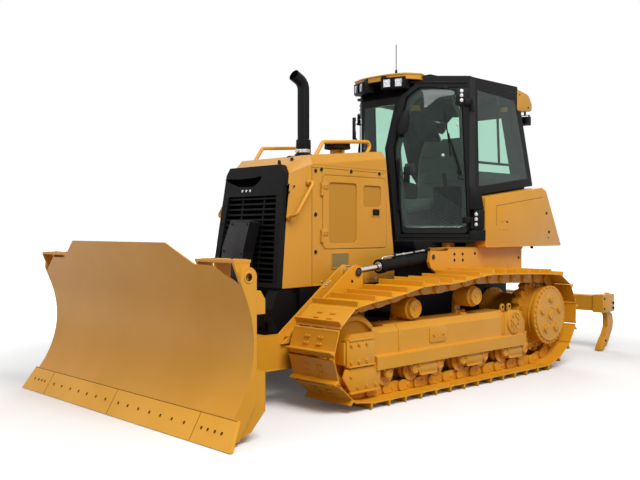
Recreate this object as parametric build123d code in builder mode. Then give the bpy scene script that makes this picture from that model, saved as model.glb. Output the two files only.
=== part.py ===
from build123d import *
import os
from math import acos, atan2, cos, degrees, hypot, pi, radians, sin, tan

os.makedirs("parts", exist_ok=True)

# Crawler bulldozer with a power-angle-tilt blade and a rear ripper, as it parks.
# Millimetres, +X forward, +Y to the machine's left, +Z up, origin on the ground
# under the middle of the whole machine.

# ---- running gear ----------------------------------------------------------
track_y = 1022            # middle of each track chain
shoe_width = 516
track_pitch = 203
plate_thick = 10
pin_to_plate = 44         # pin centre to the underside of the shoe
rail_drop = 47            # pin centre to the face the rollers run on
grouser_height = 46
grouser_base = 24
grouser_tip = 12
link_in = 55              # inner face of a link strand, from the chain's middle
link_thick = 38
first_pin_x = 1468        # foremost pin on the ground run
idler_x = 1523
idler_tread_r = 288
idler_width = 182
sprocket_x = -1282
sprocket_z = 553
sprocket_pitch_r = 374
sprocket_teeth = 23
sprocket_thick = 78
bushing_r = 28
lift_off_x = -1250        # where the chain leaves the ground run
seat_gap = 0.3            # a rolling seat, drawn just clear

# top run of the chain between the sprocket and the idler: x, pin height
top_run = [(-732, 948), (-103, 966), (368, 905), (791, 908), (1150, 838)]

roller_r = 88
roller_width = 190
roller_xs = [1170, 828, 486, 144, -198, -540, -882]
carrier_r = 100
carrier_width = 176
carriers = [(791, 748), (-103, 806)]       # x, centre height

frame_in = track_y - 140  # track frame beam, inner and outer faces
frame_out = track_y + 138
frame_low = 372
frame_top = 642
frame_front_x = 1345
frame_rear_x = -830
frame_chamfer_y = 42
frame_chamfer_z = 60
rail_out = frame_out + 40 # lower flange of the beam
rail_low = 285

hub_r = 300               # final drive
hub_in = track_y - 117
hub_out = track_y + 200

# ---- tractor ---------------------------------------------------------------
body_half = 500           # main frame and transmission case
body_low = 400
body_top = 1080
body_front = 1560
body_rear = -1560
hood_half = 500           # side of the engine enclosure
hood_wall = 14
hood_low = 940
hood_seam_x = 1420        # front section meets the door section
door_thick = 26
door_front_x = 1289
door_rear_x = 448
door_low = 1262
door_high = 1912

cab_wall = 62
cab_front_x = 76          # foremost point of the corner posts
cab_front_half = 179
cab_post_x = -521         # outer corner of the rear door post
cab_post_half = 750
cab_rear_half = 712
cab_rear_x = -1742
cab_low_half = 612        # beside the tank
cab_floor_z = 1318
cab_floor_thick = 44
cab_roof_low = 2880
cab_roof_high = 2980
glass_thick = 8
glass_tuck = 8            # how far a pane sits in its rebate

# ---- blade and its frame ---------------------------------------------------
trunnion_x = 718
trunnion_z = 450
trunnion_r = 55
run_gap = 0.05            # radial clearance of a pin in its bore
arm_in = 560              # push arm of the C-frame
arm_out = 700
arm_low = 308
arm_high = 572
nose_x = 2540             # vertical pin that the blade angles about
nose_r = 60
lever_in = 582            # the two plates of a lift lever
lever_out = 716
lever_thick = 22
lift_y = (lever_in + lever_out) / 2
lift_pin_x = 1082
lift_pin_z = 1063
lift_root_x = -57
lift_root_z = 1164
lift_barrel_r = 58
lift_rod_r = 28
side_gap = 5              # between an eye and the ears beside it

edge_x = 3110             # foremost line of the cutting edge
edge_z = 4
edge_top_x = 3000
edge_top_z = 190
edge_half = 1538.5
edge_top_half = 1481
edge_thick = 25
mold_half = 1405
mold_thick = 14
mold_waist = (2829, 600)
mold_bend = (2880, 950)
mold_top = (3045, 1341)
end_thick = 25
ear_hole_r = 25

tilt_z = 440              # height of the fore-and-aft pin that the blade tilts on
tilt_pin_r = 48
angle_y = 320             # eyes of the angle cylinders on the yoke
angle_root = (2010, 400)  # x, y of their pins on the C-frame
angle_z = 668
angle_pin_r = 20
angle_barrel_r = 45
angle_rod_r = 24
tiltcyl_z = 930
tiltcyl_x = 2600
tiltcyl_ya = -300
tiltcyl_yb = 270
tilt_barrel_r = 48
tilt_rod_r = 26

# ---- ripper ----------------------------------------------------------------
ripper_pivot_x = -1700
ripper_pivot_z = 560
ripper_pin_r = 32
ripper_arm_y = 300
ripper_arm_thick = 46
bar_x = -2840             # middle of the tool bar
bar_z = 562
bar_half = 90
bar_length = 2080
shank_y = 985
shank_thick = 62


def profile(points, plane):
    """A closed face from straight runs on a plane."""
    with BuildSketch(plane) as face:
        with BuildLine():
            Polyline(*points, close=True)
        make_face()
    return face.sketch


def slab_y(points, y0, y1, mode=Mode.ADD):
    """Outline in x and z, between two y planes."""
    extrude(profile(points, Plane.XZ.offset(-y1)), amount=y1 - y0, mode=mode)


def slab_x(points, x0, x1, mode=Mode.ADD):
    """Outline in y and z, between two x planes."""
    extrude(profile(points, Plane.YZ.offset(x0)), amount=x1 - x0, mode=mode)


def slab_z(points, z0, z1, mode=Mode.ADD):
    """Outline in x and y, between two heights."""
    extrude(profile(points, Plane.XY.offset(z0)), amount=z1 - z0, mode=mode)


def block(x0, x1, y0, y1, z0, z1, mode=Mode.ADD):
    slab_z([(x0, y0), (x1, y0), (x1, y1), (x0, y1)], z0, z1, mode)


def drum(start, end, r, mode=Mode.ADD):
    """A round bar between two points."""
    a, b = Vector(start), Vector(end)
    with BuildSketch(Plane(origin=a, z_dir=b - a)) as face:
        Circle(r)
    extrude(face.sketch, amount=(b - a).length, mode=mode)


def drum_y(x, z, y0, y1, r, mode=Mode.ADD):
    drum((x, y0, z), (x, y1, z), r, mode)


def drum_z(x, y, z0, z1, r, mode=Mode.ADD):
    drum((x, y, z0), (x, y, z1), r, mode)


def tube(points, r, bend, mode=Mode.ADD):
    """A round bar along straight runs with rounded corners."""
    with BuildLine() as route:
        FilletPolyline(*points, radius=bend)
    with BuildSketch(Plane(origin=route.line @ 0, z_dir=route.line % 0)) as ring:
        Circle(r)
    sweep(ring.sketch, path=route.line, mode=mode)


def save(piece, label):
    piece.part.label = label
    export_step(piece.part, f"parts/{label}.step")


# ============================================================================
# Tracks: one closed loop each, shoes and grousers in its outline, with the two
# link strands that the rollers run on.
# ============================================================================
idler_pin_r = hypot(idler_tread_r + rail_drop, track_pitch / 2)
pin_low = pin_to_plate + plate_thick + grouser_height
idler_z = pin_low + idler_pin_r
reach = hypot(lift_off_x - sprocket_x, pin_low - sprocket_z)
leave_angle = atan2(pin_low - sprocket_z, lift_off_x - sprocket_x) - acos(sprocket_pitch_r / reach)
meet = (
    sprocket_x + sprocket_pitch_r * cos(leave_angle),
    sprocket_z + sprocket_pitch_r * sin(leave_angle),
)
with BuildLine() as chain:
    ground = Polyline((idler_x, pin_low), (lift_off_x, pin_low), meet)
    rear_wrap = ThreePointArc(
        meet, (sprocket_x - sprocket_pitch_r, sprocket_z), (sprocket_x, sprocket_z + sprocket_pitch_r)
    )
    upper = Polyline(
        (sprocket_x, sprocket_z + sprocket_pitch_r), *top_run, (idler_x, idler_z + idler_pin_r)
    )
    front_wrap = ThreePointArc(
        (idler_x, idler_z + idler_pin_r), (idler_x + idler_pin_r, idler_z), (idler_x, pin_low)
    )
chain_length = sum(e.length for e in chain.line.edges())
shoe_count = round(chain_length / track_pitch)
runs = [ground, rear_wrap, upper, front_wrap]


def along(distance):
    """Point on the chain line, counted rearwards from under the idler."""
    left = distance % chain_length
    for run in runs:
        if left <= run.length:
            spot = run @ (left / run.length)
            return (spot.X, spot.Y)
        left -= run.length
    spot = runs[-1] @ 1
    return (spot.X, spot.Y)


step = chain_length / shoe_count
pins = [along(idler_x - first_pin_x + i * step) for i in range(shoe_count)]


def turned(a, b):
    """Unit run from a to b, and the unit normal that points out of the loop."""
    length = hypot(b[0] - a[0], b[1] - a[1])
    t = ((b[0] - a[0]) / length, (b[1] - a[1]) / length)
    return t, (-t[1], t[0])


def offset_pin(i, distance):
    """A point that far out of pin i, square to the bisector of its two links."""
    _, n0 = turned(pins[i - 1], pins[i])
    _, n1 = turned(pins[i], pins[(i + 1) % shoe_count])
    scale = distance / (1 + n0[0] * n1[0] + n0[1] * n1[1])
    return (pins[i][0] + (n0[0] + n1[0]) * scale, pins[i][1] + (n0[1] + n1[1]) * scale)


plate_out = pin_to_plate + plate_thick
shoe_line = []
for i in range(shoe_count):
    t, n = turned(pins[i - 1], pins[i])
    # back along the shoe from pin i, height out of the pin line
    for back, out in (
        (grouser_base + 10, plate_out),
        (grouser_base, plate_out + grouser_height),
        (grouser_base - grouser_tip, plate_out + grouser_height),
        (grouser_base - grouser_tip - 2, plate_out),
    ):
        shoe_line.append((pins[i][0] - t[0] * back + n[0] * out, pins[i][1] - t[1] * back + n[1] * out))
    shoe_line.append(offset_pin(i, plate_out))
plate_line = [offset_pin(i, pin_to_plate) for i in range(shoe_count)]
rail_line = [offset_pin(i, -rail_drop) for i in range(shoe_count)]

with BuildPart() as track_left:
    slab_y(shoe_line, track_y - shoe_width / 2, track_y + shoe_width / 2)
    slab_y(plate_line, track_y - shoe_width / 2 - 1, track_y + shoe_width / 2 + 1, Mode.SUBTRACT)
    for y0 in (track_y - link_in - link_thick, track_y + link_in):
        with BuildSketch(Plane.XZ.offset(-(y0 + link_thick))) as strand:
            add(profile(plate_line, Plane.XZ).face())
            add(profile(rail_line, Plane.XZ).face(), mode=Mode.SUBTRACT)
        extrude(strand.sketch, amount=link_thick)
save(track_left, "track_left")

with BuildPart() as track_right:
    add(track_left.part.mirror(Plane.XZ))
save(track_right, "track_right")

# ============================================================================
# Track frames, with their idler forks, roller guards and rear mounting block
# ============================================================================
channel_top = 362         # underside of the beam, over the rollers
beam = [
    (frame_in, rail_low), (frame_in + 32, rail_low), (frame_in + 32, channel_top), (frame_out - 32, channel_top),
    (frame_out - 32, rail_low), (rail_out, rail_low), (rail_out, frame_low + 20), (frame_out, frame_low + 34),
    (frame_out, frame_top - frame_chamfer_z), (frame_out - frame_chamfer_y, frame_top),
    (frame_in + frame_chamfer_y, frame_top), (frame_in, frame_top - frame_chamfer_z),
]
fork_in = track_y - idler_width / 2 - 12
fork_out = track_y + idler_width / 2 + 12
roller_z = pin_low + rail_drop + roller_r + seat_gap
with BuildPart() as track_frames:
    slab_x(beam, frame_rear_x, frame_front_x)
    # rear end, falling away round the pivot shaft
    slab_y([
        (frame_rear_x - 10, frame_low + 110), (frame_rear_x + 120, frame_top - 22), (frame_rear_x + 320, frame_top - 22),
        (frame_rear_x + 320, 900), (frame_rear_x - 10, 900),
    ], frame_in - 10, rail_out + 10, Mode.SUBTRACT)
    for y0, y1 in ((frame_in, frame_in + 32), (frame_out - 32, frame_out)):
        block(frame_rear_x - 95, frame_rear_x, y0, y1, rail_low, channel_top + 50)
    # forks beside the idler, and the lower guards in front of the first roller
    for y0, y1 in ((frame_in, fork_in), (fork_out, frame_out + 8)):
        slab_y([
            (frame_front_x - 40, 338), (frame_front_x + 250, 338), (frame_front_x + 330, 392),
            (frame_front_x + 330, 560), (frame_front_x + 270, 600), (frame_front_x - 40, 600),
        ], y0, y1)
        slab_y([
            (frame_front_x - 70, 300), (frame_front_x - 70, 345), (frame_front_x + 300, 345),
            (frame_front_x + 330, 250), (frame_front_x + 200, 150), (frame_front_x - 20, 150),
        ], y0, y1)
    block(idler_x - 326, idler_x + 400, fork_in, fork_out, 0, 1000, Mode.SUBTRACT)
    # carrier roller posts
    for x, z in carriers:
        slab_y([(x - 50, frame_top - 20), (x + 50, frame_top - 20), (x + 30, z + 20), (x - 30, z + 20)],
               frame_in, frame_in + 32)
    # side guards that keep the chain over its rollers
    for y0, y1 in ((frame_in + 2, frame_in + 20), (frame_out - 18, frame_out - 2)):
        for x in (660, -20, -700):
            slab_y([(x - 150, rail_low + 4), (x + 150, rail_low + 4), (x + 110, 190), (x - 110, 190)], y0, y1)
    # roller hangers
    for x in roller_xs:
        for y0, y1 in ((frame_in + 2, frame_in + 30), (frame_out - 30, frame_out - 2)):
            slab_y([(x - 52, rail_low + 4), (x + 52, rail_low + 4), (x + 36, roller_z - 30),
                    (x - 36, roller_z - 30)], y0, y1)
    mirror(about=Plane.XZ)
save(track_frames, "track_frames")

with BuildPart() as rollers:
    # idler: two treads, a raised middle and its axle
    drum_y(idler_x, idler_z, track_y - idler_width / 2, track_y + idler_width / 2, idler_tread_r - seat_gap)
    drum_y(idler_x, idler_z, track_y - link_in + 6, track_y + link_in - 6, idler_tread_r + 26)
    for y0 in (track_y - idler_width / 2 - 1, track_y + idler_width / 2 - 40):
        with BuildSketch(Plane.XZ.offset(-(y0 + 41))) as dish:
            with Locations((idler_x, idler_z)):
                Circle(idler_tread_r - 48)
                Circle(96, mode=Mode.SUBTRACT)
        extrude(dish.sketch, amount=41, mode=Mode.SUBTRACT)
    drum_y(idler_x, idler_z, fork_in, fork_out, 60)
    for x in roller_xs:
        drum_y(x, roller_z, track_y - roller_width / 2, track_y + roller_width / 2, roller_r)
        drum_y(x, roller_z, track_y - link_in + 5, track_y + link_in - 5, roller_r + 16)
        drum_y(x, roller_z, frame_in + 32, frame_out - 32, 34)
    for x, z in carriers:
        drum_y(x, z, track_y - carrier_width / 2, track_y + carrier_width / 2, carrier_r)
        drum_y(x, z, track_y + carrier_width / 2, track_y + carrier_width / 2 + 34, carrier_r - 22)
        drum_y(x, z, frame_in + 32, track_y - carrier_width / 2, 34)
    mirror(about=Plane.XZ)
save(rollers, "rollers_and_idlers")

# ============================================================================
# Sprockets and final drives
# ============================================================================
tooth_tip_r = sprocket_pitch_r + 12
with BuildPart() as sprockets:
    drum_y(sprocket_x, sprocket_z, track_y - sprocket_thick / 2, track_y + sprocket_thick / 2, tooth_tip_r)
    with BuildSketch(Plane.XZ.offset(-(track_y + sprocket_thick / 2))) as gullets:
        with Locations((sprocket_x, sprocket_z)):
            with PolarLocations(sprocket_pitch_r, sprocket_teeth):
                Circle(bushing_r)
            Circle(hub_r - 20)
    extrude(gullets.sketch, amount=sprocket_thick, mode=Mode.SUBTRACT)
    mirror(about=Plane.XZ)
save(sprockets, "sprockets")

with BuildPart() as final_drives:
    drum_y(sprocket_x, sprocket_z, hub_in, hub_out - 42, hub_r - 20)
    with BuildSketch(Plane.XZ.offset(-(hub_out - 42))) as cover:
        with Locations((sprocket_x, sprocket_z)):
            Circle(hub_r)
    extrude(cover.sketch, amount=-30)
    drum_y(sprocket_x, sprocket_z, hub_out - 12, hub_out, hub_r - 32)
    with BuildSketch(Plane.XZ.offset(-hub_out)) as bosses:
        with Locations((sprocket_x, sprocket_z)):
            with PolarLocations(hub_r * 0.55, 5, start_angle=90):
                Circle(34)
            Circle(42)
    extrude(bosses.sketch, amount=-16)
    # axle housing out to the drive
    drum_y(sprocket_x, sprocket_z, body_half, hub_in, 205)
    drum_y(sprocket_x, sprocket_z, hub_in - 40, hub_in, 260)
    mirror(about=Plane.XZ)
save(final_drives, "final_drives")

# ============================================================================
# Main frame and transmission case, with the shafts that carry the track frames
# ============================================================================
pivot_x = frame_rear_x + 150
pivot_z = 524
equalizer_x = 845
side_plate_in = 715
side_plate_out = 748
with BuildPart() as main_frame:
    slab_y([
        (body_front, 520), (body_front, hood_low - 12), (1400, hood_low - 12), (1400, hood_low), (310, hood_low),
        (225, body_top),
        (body_rear, body_top), (body_rear, 520), (body_rear + 160, body_low), (body_front - 420, body_low),
    ], -body_half, body_half)
    # engine bay, open at the top
    block(470, body_front - 40, -360, 360, 620, body_top + 1, Mode.SUBTRACT)
save(main_frame, "main_frame")

with BuildPart() as cross_shafts:
    # pivot shaft and equaliser bar out to the track frames, and the C-frame's trunnions
    for side in (-1, 1):
        y0, y1 = sorted((side * body_half, side * frame_in))
        drum_y(pivot_x, pivot_z, y0, y1, 62)
        block(equalizer_x - 38, equalizer_x + 38, y0, y1, 652, 712)
        y0, y1 = sorted((side * body_half, side * (arm_in - side_gap)))
        drum_y(trunnion_x, trunnion_z, y0, y1, 105)
        y0, y1 = sorted((side * body_half, side * (arm_out + 14)))
        drum_y(trunnion_x, trunnion_z, y0, y1, trunnion_r)
save(cross_shafts, "cross_shafts")

with BuildPart() as deck_plates:
    # side plates that carry the cab, the tanks and the lift cylinders' rear pins
    for side in (-1, 1):
        y0, y1 = sorted((side * side_plate_in, side * side_plate_out))
        slab_y([
            (lift_root_x + 170, 1120), (lift_root_x + 150, 1225), (-1480, 1225), (-1480, 1010),
            (lift_root_x + 60, 1010), (lift_root_x + 150, 1070),
        ], y0, y1)
        y0, y1 = sorted((side * body_half, side * side_plate_in))
        for x in (-300, -760, -1300):
            block(x - 40, x + 40, y0, y1, 1030, 1200)
        y0, y1 = sorted((side * body_half, side * side_plate_out))
        block(-1500, -180, y0, y1, 1225, 1250)
        # cab mounts
        for x in (-440, -1400):
            block(x - 50, x + 50, side * 545 - 40, side * 545 + 40, 1250, cab_floor_z)
        # inner ear of the lift cylinder's rear clevis, and its pin
        y0, y1 = sorted((side * (lever_in - 8), side * (lever_in + 14)))
        slab_y([
            (lift_root_x + 42, lift_root_z - 30), (lift_root_x + 42, 1225), (-260, 1226), (-260, 1070),
            (lift_root_x - 60, 1070),
        ], y0, y1)
        y0, y1 = sorted((side * (lever_in - 8), side * side_plate_out))
        drum_y(lift_root_x, lift_root_z, y0, y1, 30)
save(deck_plates, "deck_plates")

with BuildPart() as front_frame:
    # black nose below the grille: two side rails, a cross member and the belly guard
    for side in (-1, 1):
        y0, y1 = sorted((side * 330, side * 452))
        slab_y([
            (body_front, 560), (body_front, hood_low - 14), (1766, hood_low - 14), (1800, 870), (1832, 760),
            (1832, 700), (1760, 560),
        ], y0, y1)
    block(body_front, 1810, -330, 330, 600, 660)
    block(1760, 1806, -330, 330, 660, 830)
save(front_frame, "front_frame")

with BuildPart() as engine_block:
    block(560, 1420, -290, 290, 620, 1730)
save(engine_block, "engine_block")

# ============================================================================
# Engine enclosure
# ============================================================================
front_low = (1790, 462)    # x, half width of the front at the bottom
front_high = (1658, 400)   # the same where the side meets the cap
cap_z = 1930
cap_top_z = 1995
seam_shoulder_z = 2000
seam_top_z = 2083
rear_shoulder_z = 2114
rear_top_z = 2187
hood_rear_low_x = 330
hood_rear_top_x = 461


def hood_section(half, low, shoulder, top_half, top):
    """Half-hoop outline of the hood in y and z."""
    return [(-half, low), (half, low), (half, shoulder), (top_half, top), (-top_half, top), (-half, shoulder)]


seam_outer = hood_section(hood_half, hood_low, seam_shoulder_z, 472, seam_top_z)
seam_inner = hood_section(hood_half - hood_wall, hood_low - 20, seam_shoulder_z - 6, 462, seam_top_z - hood_wall)
rear_outer = hood_section(hood_half, hood_low, rear_shoulder_z, 440, rear_top_z)
rear_inner = hood_section(hood_half - hood_wall, hood_low - 20, rear_shoulder_z - 6, 432, rear_top_z - hood_wall)
lean = degrees(atan2(front_low[0] - front_high[0], cap_z - hood_low))
front_plane = Plane(origin=(front_low[0], 0, hood_low), x_dir=(0, 1, 0),
                    z_dir=(cos(radians(lean)), 0, sin(radians(lean))))
front_rise = (cap_z - hood_low) / cos(radians(lean))
front_crown = (cap_top_z - hood_low) / cos(radians(lean))
front_outer = [
    (-front_low[1], 0), (front_low[1], 0), (front_high[1], front_rise), (356, front_crown),
    (-356, front_crown), (-front_high[1], front_rise),
]
front_inner = [
    (-front_low[1] + hood_wall, -20), (front_low[1] - hood_wall, -20), (front_high[1] - hood_wall, front_rise - 6),
    (348, front_crown - hood_wall), (-348, front_crown - hood_wall), (-front_high[1] + hood_wall, front_rise - 6),
]
grille_depth = 60
grille_back = front_plane.offset(-grille_depth)

with BuildPart() as hood_mass:
    loft([profile(front_outer, grille_back).face(), profile(seam_outer, Plane.YZ.offset(hood_seam_x)).face()],
         ruled=True)
    loft([profile(seam_outer, Plane.YZ.offset(hood_seam_x)).face(),
          profile(rear_outer, Plane.YZ.offset(hood_rear_low_x)).face()], ruled=True)

with BuildPart() as engine_hood:
    # front section, from the grille's back to the seam
    loft([profile(front_outer, grille_back).face(), profile(seam_outer, Plane.YZ.offset(hood_seam_x)).face()],
         ruled=True)
    loft([profile(front_inner, grille_back.offset(1)).face(),
          profile(seam_inner, Plane.YZ.offset(hood_seam_x - 1)).face()], ruled=True, mode=Mode.SUBTRACT)
    # door section, from the seam back to the cab
    with BuildPart(mode=Mode.PRIVATE) as rear_part:
        loft([profile(seam_outer, Plane.YZ.offset(hood_seam_x)).face(),
              profile(rear_outer, Plane.YZ.offset(hood_rear_low_x)).face()], ruled=True)
        loft([profile(seam_inner, Plane.YZ.offset(hood_seam_x + 1)).face(),
              profile(rear_inner, Plane.YZ.offset(hood_rear_low_x - 1)).face()], ruled=True, mode=Mode.SUBTRACT)
        slab_y([
            (hood_rear_low_x - 10, hood_low - 30), (hood_rear_low_x - 10, 2400), (hood_rear_top_x + 12, 2400),
            (hood_rear_top_x, rear_shoulder_z), (hood_rear_low_x + 20, 1237), (hood_rear_low_x, hood_low - 30),
        ], -700, 700, Mode.SUBTRACT)
    add(rear_part.part)
    # door openings
    for side in (-1, 1):
        y0, y1 = sorted((side * (hood_half - 60), side * (hood_half + 40)))
        slab_y([
            (door_rear_x - side_gap, door_low - side_gap), (door_front_x + side_gap, door_low - side_gap),
            (door_front_x + side_gap, door_high + side_gap), (door_rear_x + 14, door_high + side_gap),
        ], y0, y1, Mode.SUBTRACT)
        # hinge posts
        y0, y1 = sorted((side * (hood_half - 1), side * (hood_half + 20)))
        for z in (1380, 1790):
            block(door_front_x + 6, door_front_x + 34, y0, y1, z - 60, z - 1)
            drum_z(door_front_x + 20, side * (hood_half + 12), z - 10, z + 56, 4)
save(engine_hood, "engine_hood")

with BuildPart() as grille:
    with BuildSketch(grille_back) as hoop:
        add(profile(front_outer, Plane.XY).face())
        add(profile([(-front_low[1] + 62, 40), (front_low[1] - 62, 40), (front_high[1] - 66, front_rise - 200),
                     (-front_high[1] + 66, front_rise - 200)], Plane.XY).face(), mode=Mode.SUBTRACT)
    extrude(hoop.sketch, amount=grille_depth)
    # louvre slats across the opening
    slat_count = 16
    slat_span = front_rise - 240
    for i in range(slat_count):
        v = 40 + slat_span * (i + 0.5) / slat_count
        half = front_low[1] - 60 - (front_low[1] - front_high[1] + 4) * v / front_rise
        with BuildSketch(grille_back.offset(14)) as slat:
            with BuildLine():
                Polyline((-half, v - 8), (half, v - 8), (half, v + 8), (-half, v + 8), close=True)
            make_face()
        extrude(slat.sketch, amount=26)
    # mullions that carry the slats
    for y in (-150, 150):
        with BuildSketch(grille_back.offset(8)) as bar:
            with BuildLine():
                Polyline((y - 9, 38), (y + 9, 38), (y + 9, front_rise - 198), (y - 9, front_rise - 198), close=True)
            make_face()
        extrude(bar.sketch, amount=24)
    # hose guard, a folded channel in front of the lower middle
    with BuildSketch(front_plane) as guard:
        with BuildLine():
            Polyline((-190, -6), (110, -6), (110, 300), (160, 560), (-110, 560), (-190, 330), close=True)
        make_face()
    extrude(guard.sketch, amount=118)
    with BuildSketch(front_plane) as hollow:
        with BuildLine():
            Polyline((-176, -20), (96, -20), (96, 290), (140, 544), (-100, 544), (-176, 326), close=True)
        make_face()
    extrude(hollow.sketch, amount=106, mode=Mode.SUBTRACT)
save(grille, "grille")

with BuildPart() as engine_door_left:
    slab_y([
        (door_rear_x, door_low), (door_front_x, door_low), (door_front_x, door_high), (door_rear_x + 18, door_high),
    ], hood_half - door_thick, hood_half + 4)
    # pressed screens, sunk in the panel
    for x0, x1, z0, z1 in ((860, 1215, 1310, 1850), (530, 770, 1640, 1838)):
        block(x0, x1, hood_half - 8, hood_half + 5, z0, z1, Mode.SUBTRACT)
    for z in (1380, 1790):
        block(door_front_x - 60, door_front_x + 20, hood_half + 4, hood_half + 10, z, z + 56)
        drum_z(door_front_x + 20, hood_half + 12, z, z + 56, 9)
        drum_z(door_front_x + 20, hood_half + 12, z - 1, z + 57, 4 + run_gap, Mode.SUBTRACT)
    block(540, 640, hood_half + 4, hood_half + 12, 1500, 1570)
save(engine_door_left, "engine_door_left")

with BuildPart() as engine_door_right:
    add(engine_door_left.part.mirror(Plane.XZ))
save(engine_door_right, "engine_door_right")

stack_x = 1060
stack_r = 56
stack_base_z = 2130
stack_top_z = 2868
with BuildPart() as exhaust_stack:
    drum_z(stack_x, 0, stack_base_z - 60, stack_base_z + 70, stack_r + 10)
    tube([(stack_x, 0, stack_base_z), (stack_x, 0, stack_top_z - 60), (stack_x + 120, 0, stack_top_z)],
         stack_r, 100)
    add(hood_mass.part, mode=Mode.SUBTRACT)
save(exhaust_stack, "exhaust_stack")

pre_x = 610
with BuildPart() as pre_cleaner:
    drum_z(pre_x, 0, 2120, 2215, 52)
    drum_z(pre_x, 0, 2215, 2268, 128)
    drum_z(pre_x, 0, 2268, 2290, 108)
    add(hood_mass.part, mode=Mode.SUBTRACT)
save(pre_cleaner, "pre_cleaner")

with BuildPart() as hand_rails:
    for side in (-1, 1):
        tube([(1310, side * 420, 2075), (1210, side * 420, 2215), (560, side * 420, 2262), (640, side * 420, 2150)],
             17, 40)
        tube([(1450, side * 492, 1840), (1450, side * 560, 1846), (1640, side * 545, 1560),
              (1640, side * 440, 1540)], 15, 38)
    add(hood_mass.part, mode=Mode.SUBTRACT)
save(hand_rails, "hand_rails")

with BuildPart() as cowl:
    # bulkhead that closes the hood's rear, and the neck to the cab
    bulk_low = hood_rear_low_x + 22
    bulk_high = hood_rear_top_x + 6
    slab_y([(bulk_low, body_top), (bulk_low + 20, body_top), (bulk_high + 20, 2150), (bulk_high, 2150)], -480, 480)
    slab_x([(-480, body_top), (480, body_top), (480, 2070), (424, 2146), (-424, 2146), (-480, 2070)],
           bulk_low - 10, bulk_high + 30, Mode.INTERSECT)
    block(cab_front_x + 10, bulk_low + 4, -150, 150, body_top, 1500)
save(cowl, "cowl")

# ============================================================================
# Cab: a hollow body with tapered front corners that hold the doors
# ============================================================================
door_run = hypot(cab_front_x - cab_post_x, cab_post_half - cab_front_half)
door_along = ((cab_front_x - cab_post_x) / door_run, -(cab_post_half - cab_front_half) / door_run)
door_out = (-door_along[1], door_along[0])


def cab_plan(inset):
    """Plan of the upper cab, drawn in by a wall."""
    shift = inset / cos(atan2(-door_along[1], door_along[0]))
    k = -door_along[1] / door_along[0]
    x_front = cab_front_x + 60
    y_front = cab_front_half - k * 60 - shift
    y_post = cab_post_half - inset
    x_post = cab_front_x - (y_post + shift - cab_front_half) / k
    return [
        (x_front, -y_front), (x_front, y_front), (x_post, y_post), (cab_post_x - 120, cab_rear_half + 20 - inset),
        (-1900, cab_rear_half - inset), (-1900, -cab_rear_half + inset),
        (cab_post_x - 120, -cab_rear_half - 20 + inset),
        (x_post, -y_post),
    ]


def cab_side(inset, low):
    """Side view of the cab, drawn in by a wall."""
    return [
        (13 - inset, low), (cab_front_x - inset, 2250), (-21 - inset, 2775), (-119 - inset, 2883),
        (-125 - inset, cab_roof_high - inset), (-1426 + inset, cab_roof_high - inset),
        (cab_rear_x + inset, 1939), (cab_rear_x + inset, low),
    ]


tank_front_x = -647
deck_front_x = tank_front_x + 6
deck_line = ((deck_front_x, 1780), (-1844, 1930))     # underside of the cab above the tank
with BuildPart() as cab_solid:
    slab_z(cab_plan(0), cab_floor_z, cab_roof_high)
    slab_y(cab_side(0, cab_floor_z - 5), -1200, 1200, Mode.INTERSECT)
    for side in (-1, 1):
        y0, y1 = sorted((side * cab_low_half, side * 1200))
        slab_y([(deck_front_x, 1000), deck_line[0], deck_line[1], (-2000, 1000)], y0, y1, Mode.SUBTRACT)

with BuildPart() as cab_hollow:
    slab_z(cab_plan(cab_wall), cab_floor_z + cab_floor_thick, cab_roof_low)
    slab_y(cab_side(cab_wall, cab_floor_z - 5), -1200, 1200, Mode.INTERSECT)
    for side in (-1, 1):
        y0, y1 = sorted((side * (cab_low_half - cab_wall), side * 1200))
        slab_y([(deck_front_x + cab_wall, 1000), (deck_front_x + cab_wall, deck_line[0][1] + cab_wall),
                (deck_line[1][0], deck_line[1][1] + cab_wall), (-2000, 1000)], y0, y1, Mode.SUBTRACT)

# door outline: run forward from the rear post, height
hinge_at = (cab_post_x + 4, cab_post_half + 34)      # the doors' hinge line, x and y
hinge_pin_r = 7
hinge_height = 60
cab_hinges = [(1500, 34, 72), (2685, 92, 126)]       # height, run of the pad on the door's stile
door_swing = 12           # front clearance, for the inner corner's wider swing
door_outline = [(14, 1391), (677, 1391), (754, 2245), (626, 2759), (503, 2856), (84, 2856)]
door_window = [(78, 1471), (616, 1471), (681, 2234), (570, 2709), (473, 2782), (142, 2780)]


def on_door(points, out, depth, mode=Mode.ADD, side=1):
    """Outline in the door's plane, from `out` outside it to `depth` inside it."""
    face_plane = Plane(
        origin=(cab_post_x + door_out[0] * out, side * (cab_post_half + door_out[1] * out), 0),
        x_dir=(door_along[0], side * door_along[1], 0),
        z_dir=(-door_out[0], side * -door_out[1], 0),
    )
    extrude(profile([(s, side * z) for s, z in points], face_plane), amount=out + depth, mode=mode)


side_window = [(-714, 1876), (-1645, 1995), (-1380, 2824), (-679, 2855)]
rear_window_half = 600
front_window = [(-190, 1500), (190, 1500), (145, 2250), (205, 2700), (-205, 2700), (-145, 2250)]
with BuildPart() as windows:
    # openings through the walls, each with its rebate line
    for side in (-1, 1):
        y0, y1 = sorted((side * (cab_rear_half - 110), side * (cab_rear_half + 90)))
        slab_y(side_window, y0, y1)
    slab_x(front_window, -220, 400)
    slab_x([(-rear_window_half, 2000), (rear_window_half, 2000), (rear_window_half, 2810), (-rear_window_half, 2810)],
           -1900, -1300)

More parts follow.
